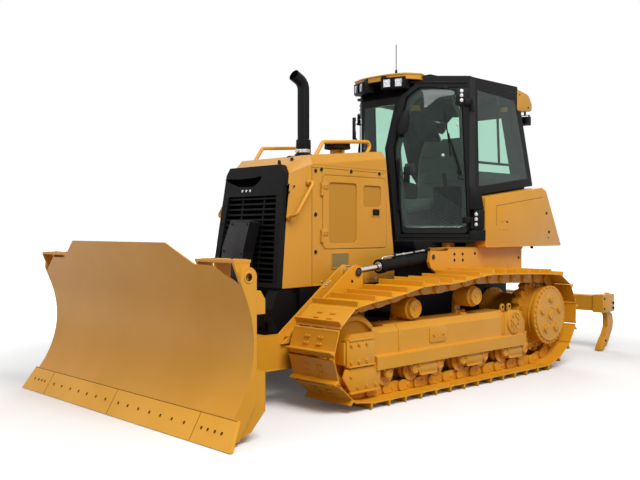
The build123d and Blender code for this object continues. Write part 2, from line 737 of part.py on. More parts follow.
with BuildPart() as cab_frame:
    add(cab_solid.part)
    add(cab_hollow.part, mode=Mode.SUBTRACT)
    block(-2000, 400, -1200, 1200, cab_roof_low, 3000, Mode.SUBTRACT)
    # doorways: wider at the front, where the door's inner edge swings past
    for side in (-1, 1):
        doorway = [(s + (door_swing if s > 400 else -side_gap), z + (side_gap if z > 2000 else -side_gap))
                   for s, z in door_outline]
        on_door(doorway, 60, 110, Mode.SUBTRACT, side)
    add(windows.part, mode=Mode.SUBTRACT)
    # hinge posts on the rear door posts
    for side in (-1, 1):
        for z, _, _ in cab_hinges:
            drum_z(hinge_at[0], side * hinge_at[1], z - 62, z - 1, 16)
            drum_z(hinge_at[0], side * hinge_at[1], z - 10, z + hinge_height, hinge_pin_r)
            x0, x1 = hinge_at[0] - 64, hinge_at[0]
            y0, y1 = sorted((side * (cab_post_half - 10), side * hinge_at[1]))
            block(x0, x1, y0, y1, z - 60, z - 3)
save(cab_frame, "cab_frame")

with BuildPart() as cab_roof:
    add(cab_solid.part)
    block(-2000, 400, -1200, 1200, 1000, cab_roof_low, Mode.SUBTRACT)
    block(-1370, -230, -480, 480, cab_roof_high, cab_roof_high + 14)
save(cab_roof, "cab_roof")

with BuildPart() as cab_glass:
    # panes in the middle of the walls, following their slopes
    add(cab_solid.part)
    with BuildPart(mode=Mode.PRIVATE) as core:
        slab_z(cab_plan(glass_thick), cab_floor_z - 10, cab_roof_high + 10)
        slab_y(cab_side(glass_thick, cab_floor_z - 5), -1200, 1200, Mode.INTERSECT)
    add(core.part, mode=Mode.SUBTRACT)
    add(windows.part, mode=Mode.INTERSECT)
save(cab_glass, "cab_glass")

with BuildPart() as cab_door_left:
    on_door(door_outline, 0, cab_wall)
    on_door(door_window, 1, cab_wall + 1, Mode.SUBTRACT)
    # the door stays inside the leaning front post
    for z, pad_from, pad_to in cab_hinges:
        drum_z(hinge_at[0], hinge_at[1], z, z + hinge_height, 16)
        on_door([(-8, z), (pad_to, z), (pad_to, z + 58), (-8, z + 58)], 26, -6)
        on_door([(pad_from, z), (pad_to, z), (pad_to, z + 58), (pad_from, z + 58)], 8, 1)
        drum_z(hinge_at[0], hinge_at[1], z - 1, z + hinge_height + 1, hinge_pin_r + run_gap, Mode.SUBTRACT)
    on_door([(672, 1905), (716, 1905), (716, 2065), (672, 2065)], 14, 0)
    # mirror on two stalks
    on_door([(640, 2330), (708, 2330), (700, 2575), (632, 2575)], 96, -58)
    for s, z in ((688, 2366), (640, 2530)):
        on_door([(s - 9, z - 9), (s + 9, z - 9), (s + 9, z + 9), (s - 9, z + 9)], 60, 1)
save(cab_door_left, "cab_door_left")

with BuildPart() as cab_door_right:
    add(cab_door_left.part.mirror(Plane.XZ))
save(cab_door_right, "cab_door_right")

with BuildPart() as door_glass_left:
    on_door(door_window, -20, 20 + glass_thick)
save(door_glass_left, "door_glass_left")

with BuildPart() as door_glass_right:
    add(door_glass_left.part.mirror(Plane.XZ))
save(door_glass_right, "door_glass_right")

lamp_turn = 20.4          # the front lamps face this far outwards
lamp_at = (34, 228)       # middle of a front lamp housing's face, x and y


def on_lamp(side, w0, w1, z0, z1, out, depth, mode=Mode.ADD):
    """A block on a front lamp housing: across its face, up, and from `out` before it to `depth` behind it."""
    c, t = cos(radians(lamp_turn)), sin(radians(lamp_turn))
    face_plane = Plane(origin=(lamp_at[0] + c * out, side * (lamp_at[1] + t * out), 0), x_dir=(-t, side * c, 0),
                       z_dir=(-c, -side * t, 0))
    points = [(w, -side * z) for w, z in ((w0, z0), (w1, z0), (w1, z1), (w0, z1))]
    extrude(profile(points, face_plane), amount=out + depth, mode=mode)


with BuildPart() as lamp_pods:
    # visor round the front of the roof, open below for the lamps, and the covers at the rear corners
    slab_z([(-230, -424), (-140, -436), (0, -362), (62, -196), (78, -96), (78, 96), (62, 196), (0, 362), (-140, 436),
            (-230, 424)], cab_roof_high - 72, cab_roof_high + 22)
    for side in (-1, 1):
        on_lamp(side, -142, 142, cab_roof_high - 200, cab_roof_high + 6, 80, 90, Mode.SUBTRACT)
        y0, y1 = sorted((side * 470, side * 724))
        slab_y([(-1420, 2958), (-1420, 2722), (-1494, 2718), (-1721, 2740), (-1721, 2822), (-1652, 2918),
                (-1500, 2945)], y0, y1)
    add(cab_solid.part, mode=Mode.SUBTRACT)
save(lamp_pods, "lamp_pods")

with BuildPart() as cab_fittings:
    # aerial, front lamp housings and the stalks of the rear lamps
    drum_z(-90, 150, cab_roof_high - 10, 3044, 11)
    drum_z(-90, 150, 3044, 3321, 4)
    for side in (-1, 1):
        on_lamp(side, -138, 138, cab_roof_high - 136, cab_roof_high + 6, 0, 89)
        block(-140, 0, min(side * 150, side * 290), max(side * 150, side * 290), cab_roof_high - 120,
              cab_roof_high - 100)
    add(cab_solid.part, mode=Mode.SUBTRACT)
    add(lamp_pods.part, mode=Mode.SUBTRACT)
save(cab_fittings, "cab_fittings")

with BuildPart() as work_lamps:
    for side in (-1, 1):
        for w in (-66, 58):
            on_lamp(side, w - 42, w + 42, cab_roof_high - 122, cab_roof_high - 28, 10, 0)
        y0, y1 = sorted((side * 610, side * 710))
        block(-1720, -1624, y0, y1, 2590, 2686)
        block(-1682, -1662, y0 + 40, y1 - 40, 2686, 2750)
    add(lamp_pods.part, mode=Mode.SUBTRACT)
save(work_lamps, "work_lamps")

seat_x = -820
floor_top = cab_floor_z + cab_floor_thick
with BuildPart() as seat_base:
    block(seat_x - 190, seat_x + 190, -190, 190, floor_top, floor_top + 300)
    # side consoles with their levers, the dash and the steps of the floor
    for side in (-1, 1):
        y0, y1 = sorted((side * 290, side * 470))
        block(seat_x - 220, seat_x + 300, y0, y1, floor_top, floor_top + 520)
        drum((seat_x + 230, side * 380, floor_top + 520), (seat_x + 260, side * 380, floor_top + 660), 20)
    block(-190, -70, -180, 180, floor_top, floor_top + 560)
    drum((-130, 0, floor_top + 560), (-160, 0, floor_top + 620), 30)
save(seat_base, "controls")

with BuildPart() as seat:
    block(seat_x - 240, seat_x + 240, -245, 245, floor_top + 300.3, floor_top + 440)
    slab_y([(seat_x - 240, floor_top + 440.3), (seat_x - 120, floor_top + 440.3), (seat_x - 170, floor_top + 1050),
            (seat_x - 280, floor_top + 1050)], -235, 235)
save(seat, "seat")

# ============================================================================
# Rear tank and fenders
# ============================================================================
tank_side = [(tank_front_x, 1250), (tank_front_x, 1760), (-1704, 1892), (-1791, 1858), (-2111, 1250)]
tank_half = 860
tank_split_x = cab_rear_x - 16      # the rear tank stands behind the cab, the side tanks beside it
with BuildPart() as tank_left:
    slab_y(tank_side, cab_low_half + 4, tank_half)
    block(-2200, tank_split_x, 0, tank_half + 10, 1200, 2000, Mode.SUBTRACT)
    slab_z([(tank_front_x + 78, tank_half + 50), (tank_front_x + 78, tank_half - 60), (tank_front_x - 42, tank_half + 50)],
           1200, 2000, Mode.SUBTRACT)
save(tank_left, "tank_left")

with BuildPart() as tank_right:
    add(tank_left.part.mirror(Plane.XZ))
save(tank_right, "tank_right")

with BuildPart() as tank_rear:
    slab_y(tank_side, -tank_half, tank_half)
    block(tank_split_x, -400, -tank_half - 10, tank_half + 10, 1200, 2000, Mode.SUBTRACT)
save(tank_rear, "tank_rear")

# ============================================================================
# C-frame with the lift levers
# ============================================================================
with BuildPart() as c_frame:
    for side in (-1, 1):
        y0, y1 = sorted((side * arm_in, side * arm_out))
        slab_y([
            (trunnion_x - 120, arm_low + 30), (trunnion_x - 60, arm_low), (2250, arm_low), (2250, arm_high),
            (trunnion_x + 100, arm_high), (trunnion_x - 120, trunnion_z + 60),
        ], y0, y1)
        slab_z([
            (2000, side * arm_in), (2250, side * arm_out), (2300, side * arm_out), (nose_x - 60, side * 150),
            (nose_x - 60, 0), (nose_x - 330, 0), (nose_x - 330, side * 150),
        ], arm_low + 12, arm_high - 12)
        for y in (lever_in, lever_out):
            y0, y1 = sorted((side * (y - lever_thick / 2), side * (y + lever_thick / 2)))
            slab_y([
                (lift_pin_x - 95, arm_high - 60), (lift_pin_x - 62, lift_pin_z - 20), (lift_pin_x - 40, lift_pin_z + 50),
                (lift_pin_x + 40, lift_pin_z + 62), (lift_pin_x + 120, lift_pin_z + 10), (1960, arm_high - 60),
            ], y0, y1)
        y0, y1 = sorted((side * (lever_in + 5), side * (lever_out - 5)))
        slab_y([
            (lift_pin_x + 40, arm_high - 60), (lift_pin_x + 330, 800), (lift_pin_x + 360, 800), (1900, arm_high - 60),
        ], y0, y1)
        y0, y1 = sorted((side * (lever_out + lever_thick / 2), side * (lever_out + lever_thick / 2 + 12)))
        drum_y(lift_pin_x, lift_pin_z, y0, y1, 38)
        # pins of the angle cylinders, on the cross member
        ax, ay = angle_root
        block(ax - 110, ax + 60, min(side * (ay - 60), side * arm_in), max(side * (ay - 60), side * arm_in),
              arm_high - 60, arm_high - 20)
        drum_z(ax, side * ay, arm_high - 40, angle_z - 52, 42)
        drum_z(ax, side * ay, angle_z - 60, angle_z + 44, angle_pin_r)
    # nose: two bored jaws for the vertical pin
    for z0, z1 in ((arm_low + 12, arm_low + 66), (arm_high - 66, arm_high - 12)):
        slab_z([(nose_x - 120, -150), (nose_x - 120, 150), (nose_x, 96), (nose_x, -96)], z0, z1)
        drum_z(nose_x, 0, z0, z1, 96)
    block(nose_x - 118, nose_x + 200, -200, 200, arm_low + 66, arm_high - 66, Mode.SUBTRACT)
    drum_z(nose_x, 0, 0, 900, nose_r + run_gap, Mode.SUBTRACT)
    for side in (-1, 1):
        y0, y1 = sorted((side * (arm_in - 40), side * (arm_out + 40)))
        drum_y(trunnion_x, trunnion_z, y0, y1, trunnion_r + run_gap, Mode.SUBTRACT)
save(c_frame, "c_frame")

# ============================================================================
# Yoke between the C-frame and the blade
# ============================================================================
tower_top = 842           # below the swing of the tilt cylinder
yoke_front = nose_x + 128
with BuildPart() as yoke:
    drum_z(nose_x, 0, arm_low - 10, arm_high + 20, nose_r)
    drum_z(nose_x, 0, arm_low + 66 + side_gap, arm_high - 66 - side_gap, 92)
    block(nose_x, nose_x + 108, -92, 92, arm_low + 71, arm_high - 71)
    drum((nose_x + 60, 0, tilt_z), (nose_x + 235, 0, tilt_z), tilt_pin_r)
    block(nose_x - 60, yoke_front, -100, 100, arm_high + side_gap, arm_high + 60)
    block(nose_x + 102, yoke_front, -92, 92, arm_low + 71, arm_high + 60)
    slab_y([(nose_x - 10, arm_high + 60), (yoke_front, arm_high + 60), (yoke_front, tower_top),
            (nose_x, tower_top)], -100, 100)
    # forked eyes for the angle cylinders
    for side in (-1, 1):
        y0, y1 = sorted((0, side * (angle_y + 56)))
        block(nose_x - 6, yoke_front, y0, y1, angle_z + 40, angle_z + 66)
        y0, y1 = sorted((side * (angle_y - 66), side * (angle_y + 56)))
        block(yoke_front - 20, yoke_front, y0, y1, angle_z - 66, angle_z + 66)
        block(nose_x - 6, yoke_front, y0, y1, angle_z - 66, angle_z - 40)
    # arm and ears for the fixed end of the tilt cylinder
    block(tiltcyl_x - 60, tiltcyl_x + 60, tiltcyl_ya - 46, -99, tower_top - 60, tower_top)
    for x0, x1 in ((tiltcyl_x - 58, tiltcyl_x - 38), (tiltcyl_x + 38, tiltcyl_x + 58)):
        block(x0, x1, tiltcyl_ya - 46, tiltcyl_ya + 40, tower_top - 1, tiltcyl_z + 44)
    drum((tiltcyl_x - 62, tiltcyl_ya, tiltcyl_z), (tiltcyl_x + 62, tiltcyl_ya, tiltcyl_z), 18)
save(yoke, "blade_yoke")

# ============================================================================
# Blade
# ============================================================================
# outline seen from the front: half width, height
mold_view = [(mold_half, 100), (mold_half, 1066), (1180, 1190), (965, 1194), (690, 1341)]


def mold_region(back, reach):
    """Side view between the moldboard's face, moved back, and a line `reach` in front of it."""
    with BuildSketch(Plane.XZ.offset(-mold_half)) as region:
        with BuildLine():
            ThreePointArc((edge_top_x - back, edge_top_z), (mold_waist[0] - back, mold_waist[1]),
                          (mold_bend[0] - back, mold_bend[1]))
            Polyline((mold_bend[0] - back, mold_bend[1]), (mold_top[0] - back, mold_top[1]),
                     (mold_top[0] + reach, mold_top[1]), (mold_bend[0] + reach, mold_bend[1]))
            ThreePointArc((mold_bend[0] + reach, mold_bend[1]), (mold_waist[0] + reach, mold_waist[1]),
                          (edge_top_x + reach, edge_top_z))
            Line((edge_top_x + reach, edge_top_z), (edge_top_x - back, edge_top_z))
        make_face()
    return region.sketch


with BuildPart() as moldboard:
    extrude(mold_region(mold_thick, 0), amount=2 * mold_half)
    slab_x(mold_view + [(-y, z) for y, z in reversed(mold_view)], 2500, 3300, Mode.INTERSECT)
save(moldboard, "moldboard")

edge_run = hypot(edge_x - edge_top_x, edge_top_z - edge_z)
edge_plane = Plane(origin=(edge_x, 0, edge_z), x_dir=(0, 1, 0),
                   z_dir=((edge_top_z - edge_z) / edge_run, 0, (edge_x - edge_top_x) / edge_run))
edge_seams = [-1538.5, -1080, 0, 1080, 1538.5]
with BuildPart() as cutting_edges:
    # two middle edges and two end bits, a hairline apart
    for y0, y1 in zip(edge_seams, edge_seams[1:]):
        lean0 = edge_half - edge_top_half if y0 == -edge_half else 0
        lean1 = edge_half - edge_top_half if y1 == edge_half else 0
        with BuildSketch(edge_plane) as bit:
            with BuildLine():
                Polyline((y0 + 0.4, 0), (y1 - 0.4, 0), (y1 - 0.4 - lean1, edge_run), (y0 + 0.4 + lean0, edge_run),
                         close=True)
            make_face()
        extrude(bit.sketch, amount=-edge_thick)
    block(edge_top_x - 100, edge_x + 50, -edge_half - 5, edge_half + 5, edge_z - 50, edge_z, Mode.SUBTRACT)
save(cutting_edges, "cutting_edges")

blade_rear_x = 2705
with BuildPart() as blade_back:
    # lower and upper box beams, ribs and the skid behind the edge
    slab_y([(3066, 24), (2972, 190), (2900, 330), (2846, 470), (blade_rear_x, 470), (blade_rear_x, 200),
            (2830, 70), (2960, 24)], -mold_half, mold_half)
    slab_y([(2852, 860), (2900, 1020), (blade_rear_x + 40, 1020), (blade_rear_x, 960), (blade_rear_x, 860)],
           -mold_half, mold_half)
    for y, thick in ((-1060, 24), (-560, 24), (-190, 34), (190, 34), (560, 24), (1060, 24)):
        slab_y([(2850, 460), (2860, 870), (blade_rear_x, 870), (blade_rear_x, 460)], y - thick / 2, y + thick / 2)
    # socket for the fore-and-aft pin
    drum((blade_rear_x - 16, 0, tilt_z), (blade_rear_x + 170, 0, tilt_z), 118)
    # steps behind the upper corners, each on three gussets
    for side in (-1, 1):
        y0, y1 = sorted((side * 965, side * mold_half))
        block(2830, 2974, y0, y1, 1212, 1232)
        for y in (985, 1190, 1395):
            slab_y([(2838, 1213), (2980, 1213), (2912, 1052), (2872, 1019), (2850, 1019)],
                   side * y - 9, side * y + 9)
    extrude(mold_region(mold_thick, 400), amount=2 * mold_half, mode=Mode.SUBTRACT)
    # end plates with their lifting ears, flared at the foot
    for side in (-1, 1):
        y0, y1 = sorted((side * mold_half, side * (mold_half + end_thick)))
        with BuildSketch(Plane.XZ.offset(-y1)) as plate:
            with BuildLine():
                ThreePointArc((edge_top_x, edge_top_z), mold_waist, mold_bend)
                Polyline(mold_bend, (2938, 1088), (2938, 1115), (2800, 1115), (2800, 275), (2950, 30), (3080, 30),
                         (edge_top_x, edge_top_z))
            make_face()
            with Locations((2868, 1115)):
                Circle(70)
                Circle(ear_hole_r, mode=Mode.SUBTRACT)
        extrude(plate.sketch, amount=y1 - y0)
    # ears of the tilt cylinder's rod
    for x0, x1 in ((tiltcyl_x - 58, tiltcyl_x - 38), (tiltcyl_x + 38, tiltcyl_x + 58)):
        block(x0, x1, tiltcyl_yb - 50, tiltcyl_yb + 60, tiltcyl_z - 50, tiltcyl_z + 50)
    block(tiltcyl_x + 57, blade_rear_x + 1, tiltcyl_yb - 50, tiltcyl_yb + 60, tiltcyl_z - 50, tiltcyl_z + 50)
    block(tiltcyl_x - 58, blade_rear_x + 1, tiltcyl_yb + 59, tiltcyl_yb + 84, tiltcyl_z - 50, tiltcyl_z + 50)
    drum((blade_rear_x - 40, 0, tilt_z), (nose_x + 236, 0, tilt_z), tilt_pin_r + run_gap, Mode.SUBTRACT)
    add(cutting_edges.part, mode=Mode.SUBTRACT)
save(blade_back, "blade_back")


# ============================================================================
# Hydraulic cylinders: each barrel turns on its rear pin, each rod slides in it
# ============================================================================
def barrel(root, tip, neck, length, r, eye_r, eye_half, pin_r, rod_r, across):
    """Barrel from its rear eye: a neck, the body and its front collar, bored for the rod."""
    a, b = Vector(*root), Vector(*tip)
    u = (b - a).normalized()
    w = Vector(*across)
    drum(a - w * eye_half, a + w * eye_half, eye_r)
    drum(a, a + u * (neck + 10), eye_half)
    drum(a + u * neck, a + u * (length - 40), r)
    drum(a + u * (length - 60), a + u * length, r + 8)
    drum(a + u * (neck + 5), a + u * (length + 1), rod_r + run_gap, Mode.SUBTRACT)
    if pin_r:
        drum(a - w * (eye_half + 10), a + w * (eye_half + 10), pin_r + run_gap, Mode.SUBTRACT)


def rod(root, tip, inside, r, eye_r, eye_half, across):
    """Rod from inside its barrel to its eye."""
    a, b = Vector(*root), Vector(*tip)
    u = (b - a).normalized()
    w = Vector(*across)
    drum(a + u * inside, b - u * (eye_r * 0.6), r)
    drum(b - w * eye_half, b + w * eye_half, eye_r)


lift_eye_half = (lever_out - lever_in - lever_thick) / 2 - side_gap
lift_root = (lift_root_x, lift_y, lift_root_z)
lift_tip = (lift_pin_x, lift_y, lift_pin_z)
with BuildPart() as lift_barrel_left:
    barrel(lift_root, lift_tip, 64, 790, lift_barrel_r, 52, 36, 30, lift_rod_r, (0, 1, 0))
save(lift_barrel_left, "lift_barrel_left")
with BuildPart() as lift_barrel_right:
    add(lift_barrel_left.part.mirror(Plane.XZ))
save(lift_barrel_right, "lift_barrel_right")
with BuildPart() as lift_rod_left:
    rod(lift_root, lift_tip, 470, lift_rod_r, 48, lift_eye_half, (0, 1, 0))
save(lift_rod_left, "lift_rod_left")
with BuildPart() as lift_rod_right:
    add(lift_rod_left.part.mirror(Plane.XZ))
save(lift_rod_right, "lift_rod_right")

angle_tip = (nose_x + 30, angle_y, angle_z)
angle_base = (angle_root[0], angle_root[1], angle_z)
with BuildPart() as angle_barrel_left:
    barrel(angle_base, angle_tip, 50, 355, angle_barrel_r, 42, 34, angle_pin_r, angle_rod_r, (0, 0, 1))
save(angle_barrel_left, "angle_barrel_left")
with BuildPart() as angle_barrel_right:
    add(angle_barrel_left.part.mirror(Plane.XZ))
save(angle_barrel_right, "angle_barrel_right")
with BuildPart() as angle_rod_left:
    rod(angle_base, angle_tip, 196, angle_rod_r, 36, 34, (0, 0, 1))
save(angle_rod_left, "angle_rod_left")
with BuildPart() as angle_rod_right:
    add(angle_rod_left.part.mirror(Plane.XZ))
save(angle_rod_right, "angle_rod_right")

tilt_base = (tiltcyl_x, tiltcyl_ya, tiltcyl_z)
tilt_tip = (tiltcyl_x, tiltcyl_yb, tiltcyl_z)
with BuildPart() as tilt_barrel:
    barrel(tilt_base, tilt_tip, 46, 390, tilt_barrel_r, 36, 33, 18, tilt_rod_r, (1, 0, 0))
save(tilt_barrel, "tilt_barrel")
with BuildPart() as tilt_rod:
    rod(tilt_base, tilt_tip, 230, tilt_rod_r, 38, 32, (1, 0, 0))
save(tilt_rod, "tilt_rod")

# ============================================================================
# Ripper
# ============================================================================
ripper_cyl_root = (-1700, 1010)
ripper_cyl_tip = (bar_x + 40, bar_z + 190)
with BuildPart() as ripper_bracket:
    block(body_rear - 60, body_rear, -420, 420, 440, body_top)
    for side in (-1, 1):
        for y in (ripper_arm_y - 60, ripper_arm_y + 60):
            y0, y1 = sorted((side * (y - 14), side * (y + 14)))
            slab_y([(body_rear - 59, 440), (body_rear - 59, 700), (ripper_pivot_x - 30, 640),
                    (ripper_pivot_x - 70, ripper_pivot_z), (ripper_pivot_x - 30, ripper_pivot_z - 70)], y0, y1)
        y0, y1 = sorted((side * (ripper_arm_y - 74), side * (ripper_arm_y + 74)))
        drum_y(ripper_pivot_x, ripper_pivot_z, y0, y1, ripper_pin_r)
    for y in (-62, 62):
        slab_y([(body_rear - 59, 900), (body_rear - 59, body_top), (-1690, body_top), (-1755, 1030), (-1750, 970),
                (-1700, 950)], y - 12, y + 12)
    drum_y(ripper_cyl_root[0], ripper_cyl_root[1], -74, 74, 26)
save(ripper_bracket, "ripper_bracket")

with BuildPart() as ripper:
    block(bar_x - bar_half, bar_x + bar_half, -bar_length / 2, bar_length / 2, bar_z - bar_half, bar_z + bar_half)
    for side in (-1, 1):
        y0, y1 = sorted((side * (ripper_arm_y - ripper_arm_thick / 2), side * (ripper_arm_y + ripper_arm_thick / 2)))
        slab_y([(ripper_pivot_x + 20, ripper_pivot_z - 70), (ripper_pivot_x + 20, ripper_pivot_z + 70),
                (bar_x + bar_half - 1, bar_z + bar_half), (bar_x + bar_half - 1, bar_z - bar_half)], y0, y1)
        drum_y(ripper_pivot_x, ripper_pivot_z, y0, y1, 72)
    # shanks with their points: one in the middle, one near each end
    for y in (-shank_y, 0, shank_y):
        block(bar_x - bar_half - 78, bar_x + bar_half + 20, y - 62, y + 62, bar_z - bar_half - 14, bar_z + bar_half + 14)
        slab_y([
            (bar_x - 118, bar_z + 120), (bar_x - 118, bar_z - 100), (bar_x - 190, 420), (bar_x - 210, 330),
            (bar_x - 190, 250), (bar_x - 60, 60), (bar_x + 82, 12), (bar_x + 90, 30), (bar_x + 20, 130),
            (bar_x - 70, 280), (bar_x - 70, 400), (bar_x - 30, 460),
        ], y - shank_thick / 2, y + shank_thick / 2)
    block(edge_x * -1, bar_x - 190, -shank_thick / 2, shank_thick / 2, 300, 360)
    for y in (-56, 56):
        slab_y([(bar_x - 60, bar_z + bar_half - 1), (bar_x + 90, bar_z + bar_half - 1), (ripper_cyl_tip[0] + 42, ripper_cyl_tip[1] + 40),
                (ripper_cyl_tip[0] - 42, ripper_cyl_tip[1] + 40)], y - 12, y + 12)
    for side in (-1, 1):
        y0, y1 = sorted((side * (ripper_arm_y - 60), side * (ripper_arm_y + 60)))
        drum_y(ripper_pivot_x, ripper_pivot_z, y0, y1, ripper_pin_r + run_gap, Mode.SUBTRACT)
save(ripper, "ripper")

rip_a = (ripper_cyl_root[0], 0, ripper_cyl_root[1])
rip_b = (ripper_cyl_tip[0], 0, ripper_cyl_tip[1])
with BuildPart() as ripper_barrel:
    barrel(rip_a, rip_b, 96, 720, 58, 48, 42, 26, 28, (0, 1, 0))
save(ripper_barrel, "ripper_barrel")
with BuildPart() as ripper_rod:
    rod(rip_a, rip_b, 400, 28, 44, 38, (0, 1, 0))
save(ripper_rod, "ripper_rod")

print("shoes a side", shoe_count, "chain", round(chain_length), "pitch", round(step, 2), "idler z", round(idler_z, 1))
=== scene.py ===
from math import acos, atan2, cos, hypot, pi, radians, sin

import bmesh
import bpy
from mathutils import Matrix, Vector


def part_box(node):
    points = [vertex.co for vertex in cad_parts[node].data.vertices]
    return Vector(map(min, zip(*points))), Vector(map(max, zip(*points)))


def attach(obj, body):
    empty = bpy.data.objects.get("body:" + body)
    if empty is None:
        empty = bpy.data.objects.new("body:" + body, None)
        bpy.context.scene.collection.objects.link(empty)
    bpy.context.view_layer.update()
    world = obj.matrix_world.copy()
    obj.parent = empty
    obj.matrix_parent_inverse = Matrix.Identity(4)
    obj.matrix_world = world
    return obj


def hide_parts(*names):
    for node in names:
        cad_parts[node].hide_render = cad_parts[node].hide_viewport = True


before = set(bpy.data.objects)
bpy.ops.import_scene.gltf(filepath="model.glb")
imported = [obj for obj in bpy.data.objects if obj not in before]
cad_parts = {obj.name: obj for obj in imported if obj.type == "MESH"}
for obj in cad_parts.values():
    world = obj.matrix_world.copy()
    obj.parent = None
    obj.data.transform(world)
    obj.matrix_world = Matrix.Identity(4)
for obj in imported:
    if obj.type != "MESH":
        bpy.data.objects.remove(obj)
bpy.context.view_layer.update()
scene = bpy.context.scene
print("frame loaded")


# materials
def group(name, inputs, outputs):
    tree = bpy.data.node_groups.new(name, "ShaderNodeTree")
    for label, kind, value in inputs:
        socket = tree.interface.new_socket(label, in_out="INPUT", socket_type=kind)
        if value is not None:
            socket.default_value = value
    for label, kind in outputs:
        tree.interface.new_socket(label, in_out="OUTPUT", socket_type=kind)
    return tree, tree.nodes.new("NodeGroupInput"), tree.nodes.new("NodeGroupOutput")


def node(tree, kind, values=None, **settings):
    made = tree.nodes.new(kind)
    for key, value in settings.items():
        setattr(made, key, value)
    for key, value in (values or {}).items():
        if isinstance(value, bpy.types.NodeSocket):
            tree.links.new(value, made.inputs[key])
        else:
            made.inputs[key].default_value = value
    return made


def rampOf(tree, fac, low, high):
    ramp = node(tree, "ShaderNodeMapRange", {"Value": fac, "From Min": low, "From Max": high})
    return ramp.outputs["Result"]


def mixColour(tree, fac, a, b, blend="MIX"):
    mixed = node(tree, "ShaderNodeMix", data_type="RGBA", blend_type=blend)
    for index, value in ((0, fac), (6, a), (7, b)):
        if isinstance(value, bpy.types.NodeSocket):
            tree.links.new(value, mixed.inputs[index])
        else:
            mixed.inputs[index].default_value = value
    return mixed.outputs[2]


def mathOf(tree, operation, a, b=None):
    made = node(tree, "ShaderNodeMath", operation=operation)
    for index, value in ((0, a), (1, b)):
        if isinstance(value, bpy.types.NodeSocket):
            tree.links.new(value, made.inputs[index])
        elif value is not None:
            made.inputs[index].default_value = value
    return made.outputs[0]


def makeEnamelGroup():
    # Sprayed enamel: slow tone drift, faint orange peel and rounded corners
    tree, gin, gout = group("sprayedEnamel", [
        ("Colour", "NodeSocketColor", (0.7, 0.33, 0.04, 1)), ("Drift", "NodeSocketFloat", 0.08),
        ("Gloss", "NodeSocketFloat", 0.32), ("Peel", "NodeSocketFloat", 0.04), ("Corner", "NodeSocketFloat",
                0.004),
    ], [("Colour", "NodeSocketColor"), ("Roughness", "NodeSocketFloat"), ("Normal", "NodeSocketVector")])
    where = node(tree, "ShaderNodeTexCoord").outputs["Object"]
    slow = node(tree, "ShaderNodeTexNoise", {"Vector": where, "Scale": 1.7, "Detail": 3.0, "Roughness": 0.55})
    fine = node(tree, "ShaderNodeTexNoise", {"Vector": where, "Scale": 240.0, "Detail": 2.0})
    smudge = node(tree, "ShaderNodeTexNoise", {"Vector": where, "Scale": 9.0, "Detail": 5.0,
            "Roughness": 0.65})
    spread = rampOf(tree, slow.outputs["Fac"], 0.3, 0.7)
    darker = node(tree, "ShaderNodeHueSaturation", {
        "Color": gin.outputs["Colour"], "Saturation": 1.03,
        "Value": mathOf(tree, "SUBTRACT", 1.0, gin.outputs["Drift"])})
    colour = mixColour(tree, spread, darker.outputs["Color"], gin.outputs["Colour"])
    tree.links.new(colour, gout.inputs["Colour"])
    rough = mathOf(tree, "ADD", gin.outputs["Gloss"],
                   mathOf(tree, "MULTIPLY", rampOf(tree, smudge.outputs["Fac"], 0.35, 0.75), 0.09))
    tree.links.new(rough, gout.inputs["Roughness"])
    corner = node(tree, "ShaderNodeBevel", {"Radius": gin.outputs["Corner"]}, samples=6)
    bump = node(tree, "ShaderNodeBump", {"Strength": gin.outputs["Peel"], "Distance": 0.001,
                                         "Height": fine.outputs["Fac"], "Normal": corner.outputs["Normal"]})
    tree.links.new(bump.outputs["Normal"], gout.inputs["Normal"])
    return tree


enamelGroup = makeEnamelGroup()


def makeWearGroup():
    # Rubbed metal: a mask of bare patches and scratches on faces that slide in soil
    tree, gin, gout = group("rubbedMetal", [
        ("Amount", "NodeSocketFloat", 0.4), ("Scale", "NodeSocketFloat", 6.0)],
        [("Mask", "NodeSocketFloat"), ("Tone", "NodeSocketFloat")])
    where = node(tree, "ShaderNodeTexCoord").outputs["Object"]
    streak = node(tree, "ShaderNodeMapping", {"Vector": where, "Scale": (1.0, 6.0, 1.0)})
    patch = node(tree, "ShaderNodeTexNoise", {"Vector": streak.outputs["Vector"],
            "Scale": gin.outputs["Scale"],
                                              "Detail": 8.0, "Roughness": 0.7})
    low = mathOf(tree, "SUBTRACT", 0.75, mathOf(tree, "MULTIPLY", gin.outputs["Amount"], 0.4))
    over = mathOf(tree, "MULTIPLY", mathOf(tree, "SUBTRACT", patch.outputs["Fac"], low), 9.0)
    clamped = node(tree, "ShaderNodeClamp", {"Value": over})
    tree.links.new(clamped.outputs["Result"], gout.inputs["Mask"])
    tree.links.new(patch.outputs["Fac"], gout.inputs["Tone"])
    return tree


wearGroup = makeWearGroup()


def principled(name):
    material = bpy.data.materials.new(name)
    material.use_nodes = True
    return material, material.node_tree, material.node_tree.nodes["Principled BSDF"]


def enamel(name, colour, gloss=0.34, drift=0.07, peel=0.04, corner=0.004, coat=0.06, metallic=0.0,
        shine=0.26):
    material, tree, shader = principled(name)
    paint = node(tree, "ShaderNodeGroup", node_tree=enamelGroup)
    for label, value in (("Colour", (*colour, 1)), ("Drift", drift), ("Gloss", gloss), ("Peel", peel),
                         ("Corner", corner)):
        paint.inputs[label].default_value = value
    tree.links.new(paint.outputs["Colour"], shader.inputs["Base Color"])
    tree.links.new(paint.outputs["Roughness"], shader.inputs["Roughness"])
    tree.links.new(paint.outputs["Normal"], shader.inputs["Normal"])
    shader.inputs["Coat Weight"].default_value = coat
    shader.inputs["Coat Roughness"].default_value = 0.12
    shader.inputs["Metallic"].default_value = metallic
    shader.inputs["Specular IOR Level"].default_value = shine
    return material


